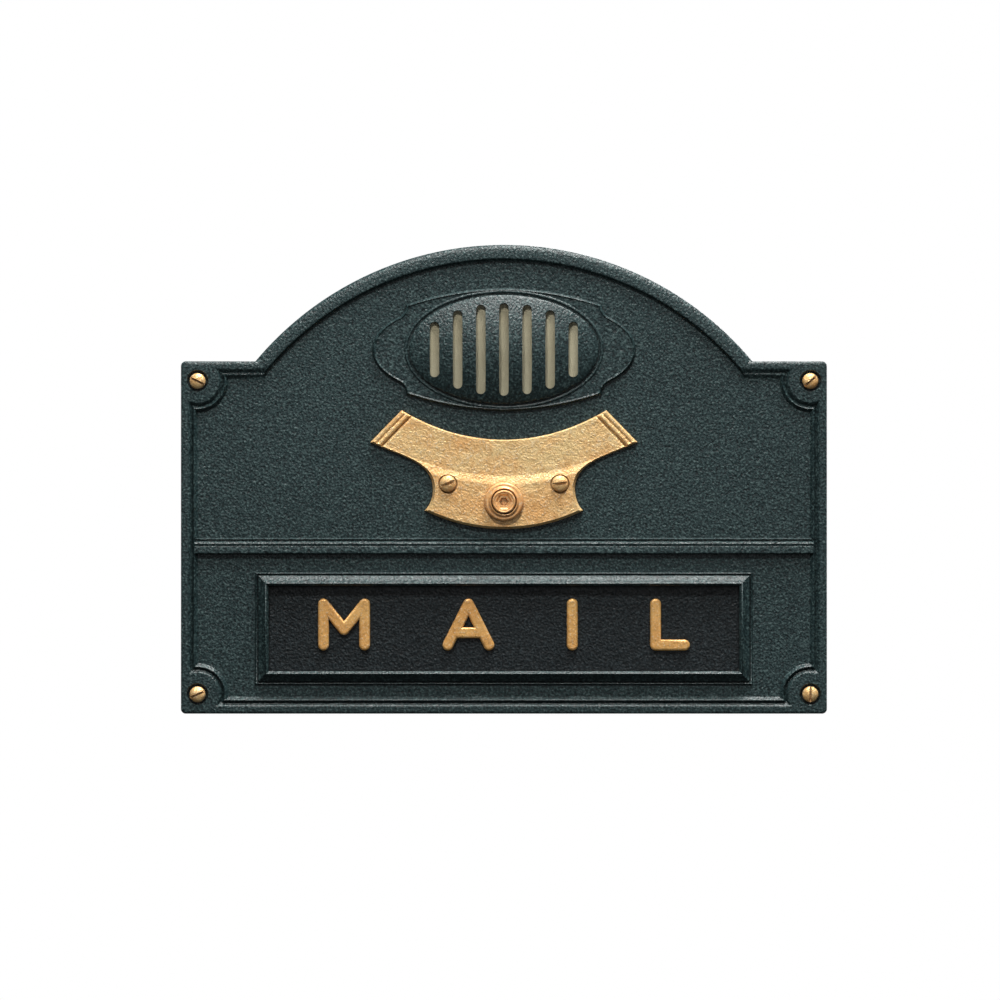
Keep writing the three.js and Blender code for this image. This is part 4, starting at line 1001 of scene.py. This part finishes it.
def lock():
    """The cam lock's fixed barrel with its rounded collar, and its keyed cylinder."""
    low, high = span("lock_body")
    x, _, z = middle("lock_body")
    back, front, head = high[1], low[1], high[0] - x
    under = back - 2.5
    rows = [
        (5.55, front), (7.6, front), (8.0, front + 0.4), (8.0, under), (head - 0.3, under),
        (head, under + 0.4), (head, back - 1.1), (head - 0.4, back - 0.45), (head - 1.1, back - 0.1),
        (head - 1.9, back), (6.2, back), (5.9, back - 0.3), (5.55, back - 0.5),
    ]
    barrel = turned("barrel", rows, x, z, 72, looped=True)
    piece(barrel, "lock_barrel", "bright_steel", ["lock_body"], "door", 40)
    low, high = span("lock_cylinder")
    x, _, z = middle("lock_cylinder")
    face, tail_end, round_end, half_tail, tail_joint = high[1], low[1], 209.5, 2.5, 2.5
    rows = [(5.3, round_end), (5.3, face - 0.5), (5.0, face - 0.15), (4.5, face - 0.05), (0.1, face)]
    tail_x, tail_z = (x - half_tail, x + half_tail), (z - half_tail, z + half_tail)
    tail = block("tail", tail_x, (tail_end, round_end + tail_joint), tail_z)
    rotor = join(turned("rotor", rows, x, z, 64), tail)
    key_depth = (face - 8, face + 1)
    keyway = block("key", (x - 0.8, x + 0.8), key_depth, (z - 3.2, z + 3.2))
    ward = block("ward", (x - 1.5, x + 0.2), key_depth, (z - 0.7, z + 0.7))
    thread = turned("thread", [(1.8, tail_end - 1), (1.8, tail_end + 6)], x, z, 24)
    piece(cut(rotor, keyway, ward, thread), "lock_rotor", "bright_steel", ["lock_cylinder"], "lock", 40)


def grommet():
    """A rubber ring with a groove for the housing's wall and a rounded outer lip."""
    low, high = span("cable_grommet")
    x, _, z = middle("cable_grommet")
    front, back, rim = low[1], high[1], high[0] - x
    groove = (front + back) / 2 - 0.2
    rows = [
        (2.6, front + 0.4), (3.0, front), (rim - 0.8, front), (rim - 0.2, front + 0.4), (rim, groove - 1.3),
        (5.0, groove - 1.3), (5.0, groove + 1.3), (rim, groove + 1.3), (rim - 0.2, back - 1.0),
        (rim - 1.2, back - 0.3), (rim - 2.6, back), (3.0, back), (2.6, back - 0.4),
    ]
    ring = turned("grommet", rows, x, z, 64, looped=True)
    piece(ring, "cable_grommet_moulded", "rubber", ["cable_grommet"], angle=50)


def dress_cad_nodes():
    """Softens the edges of the CAD nodes that stay and gives each its finish."""
    edges = {
        "mail_flap": 0.4, "body_shell": 0.35, "mail_ramp": 0.3, "rear_door": 0.4, "intercom_housing": 0.8,
        "terminal_block": 0.4, "terminal_board": 0.2, "plate_gasket": 0.3, "door_gasket": 0.3,
        "lock_cam": 0.35, "bell_terminal_left": 0.15, "bell_terminal_right": 0.15, "speaker_magnet": 0.6,
        "bell_switch": 0.5, "speaker_basket": 0.25, "rear_hinge_shell_leaf": 0.2,
        "rear_hinge_door_leaf": 0.2, "hinge_clip_left": 0.15, "hinge_clip_right": 0.15,
    }
    slots = {part["node"]: part["material_slot"] for part in frame["record"]["subparts"]}
    for node, obj in frame["nodes"].items():
        for place in obj.material_slots:
            place.material = LOOKS[slots[node]]
        if node in edges:
            bevelled(obj, edges[node])


# ---------------------------------------------------------------- light, floor and camera


def area_light(name, place, aim, size, power, tint=(1, 1, 1)):
    """A round lamp that the camera doesn't see, in metres and watts."""
    data = bpy.data.lights.new(name, "AREA")
    data.shape = "DISK"
    data.size = size
    data.energy = power
    data.color = tint
    lamp = bpy.data.objects.new(name, data)
    lamp.location = place
    lamp.rotation_euler = (Vector(aim) - Vector(place)).to_track_quat("-Z", "Y").to_euler()
    lamp.visible_camera = False
    scene.collection.objects.link(lamp)


def world_light(seen, cast):
    """A white surround that is brighter to the eye than it is as light."""
    world = bpy.data.worlds.new("studio")
    scene.world = world
    world.use_nodes = True
    tree = world.node_tree
    background = tree.nodes["Background"]
    background.inputs["Color"].default_value = (1, 1, 1, 1)
    rays = tree.nodes.new("ShaderNodeLightPath")
    share = tree.nodes.new("ShaderNodeMapRange")
    share.inputs["To Min"].default_value = cast
    share.inputs["To Max"].default_value = seen
    tree.links.new(rays.outputs["Is Camera Ray"], share.inputs["Value"])
    tree.links.new(share.outputs["Result"], background.inputs["Strength"])


def floor():
    """A pale floor below the object, which throws no light back at it."""
    half, near, far, height = 3, -3.2, 1.6, -0.8
    corners = [(-half, near), (half, near), (half, far), (-half, far)]
    mesh = bpy.data.meshes.new("floor")
    mesh.from_pydata([(x, y, height) for x, y in corners], [], [(0, 1, 2, 3)])
    obj = bpy.data.objects.new("floor", mesh)
    scene.collection.objects.link(obj)
    obj.visible_diffuse = obj.visible_glossy = False
    look = Look("floor_paint", roughness=0.8, Emission_Color=(0.9, 0.9, 0.89, 1.0), Emission_Strength=0.75)
    look.set("Base Color", look.mix(look.noise(3), (206, 206, 204), (200, 200, 198)))
    mesh.materials.append(look.material)


def camera():
    """A long lens that looks straight at the plate."""
    low, high = [Vector(corner) for corner in cad_box]
    lens, sensor, far, margin = 200, 36, 20, 1.548
    face, left_of_middle, below_middle = -0.008, 0.0020, 0.0106
    view_width = (high.x - low.x) * margin
    data = bpy.data.cameras.new("camera")
    data.lens = lens
    data.sensor_width = sensor
    data.clip_end = far
    eye = bpy.data.objects.new("camera", data)
    eye_x = (low.x + high.x) / 2 - left_of_middle
    eye_z = (low.z + high.z) / 2 - below_middle
    eye.location = (eye_x, face - view_width * lens / sensor, eye_z)
    eye.rotation_euler = (math.pi / 2, 0, 0)
    scene.collection.objects.link(eye)
    scene.camera = eye


def studio():
    """A small key light high on the left, a broad one overhead and fill from all round."""
    plate, box = (0, 0, 0.12), (0, 0.1, 0.1)
    world_light(1.0, 0.06)
    area_light("key", (-0.3, -1.4, 1.75), plate, 0.26, 27, (1.0, 0.985, 0.96))
    area_light("overhead", (0.35, -0.42, 1.9), plate, 0.8, 54, (1.0, 0.99, 0.97))
    area_light("front", (0.3, -2.8, 0.7), plate, 1.2, 5, (0.97, 0.985, 1.0))
    area_light("right", (2.4, 1.1, 0.9), box, 1.6, 34)
    area_light("left", (-2.4, 1.1, 0.9), box, 1.6, 26)
    area_light("back", (0.5, 2.6, 1.0), box, 1.4, 30)


def screws():
    """All the slotted screws, each turned by its own angle in radians."""
    for side, turn in (("left", 0.35), ("right", 0.1)):
        screw(f"name_plate_screw_{side}", "brass", 4.15, 2.4, turn, 1.5)
        screw(f"grille_screw_{side}", "bright_steel", 2.6, 2.0, turn * 3, 0.6, True)
        screw(f"housing_screw_{side}", "bright_steel", 2.8, 1.8, 1 - turn, 0.7, True)
    corners = [(level, side) for level in ("lower", "upper") for side in ("left", "right")]
    for index, (level, side) in enumerate(corners):
        screw(f"corner_screw_{level}_{side}", "brass", 4.1, 3.4, 0.4 + 1.15 * index)
    screw("cam_screw", "bright_steel", 4.0, 2.2, 0.7, 0.8)


camera()
scene.view_settings.view_transform = "Standard"
studio()
floor()

dress_cad_nodes()
front_plate()
speaker_grille()
speaker_cloth()
name_plate()
screws()
bell_rosette()
bell_button()
bell_spring, keep, anchor = bell_coil()
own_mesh(bell_spring)
letters()
flap_springs()
wall_plugs()
nuts()
lock()
grommet()
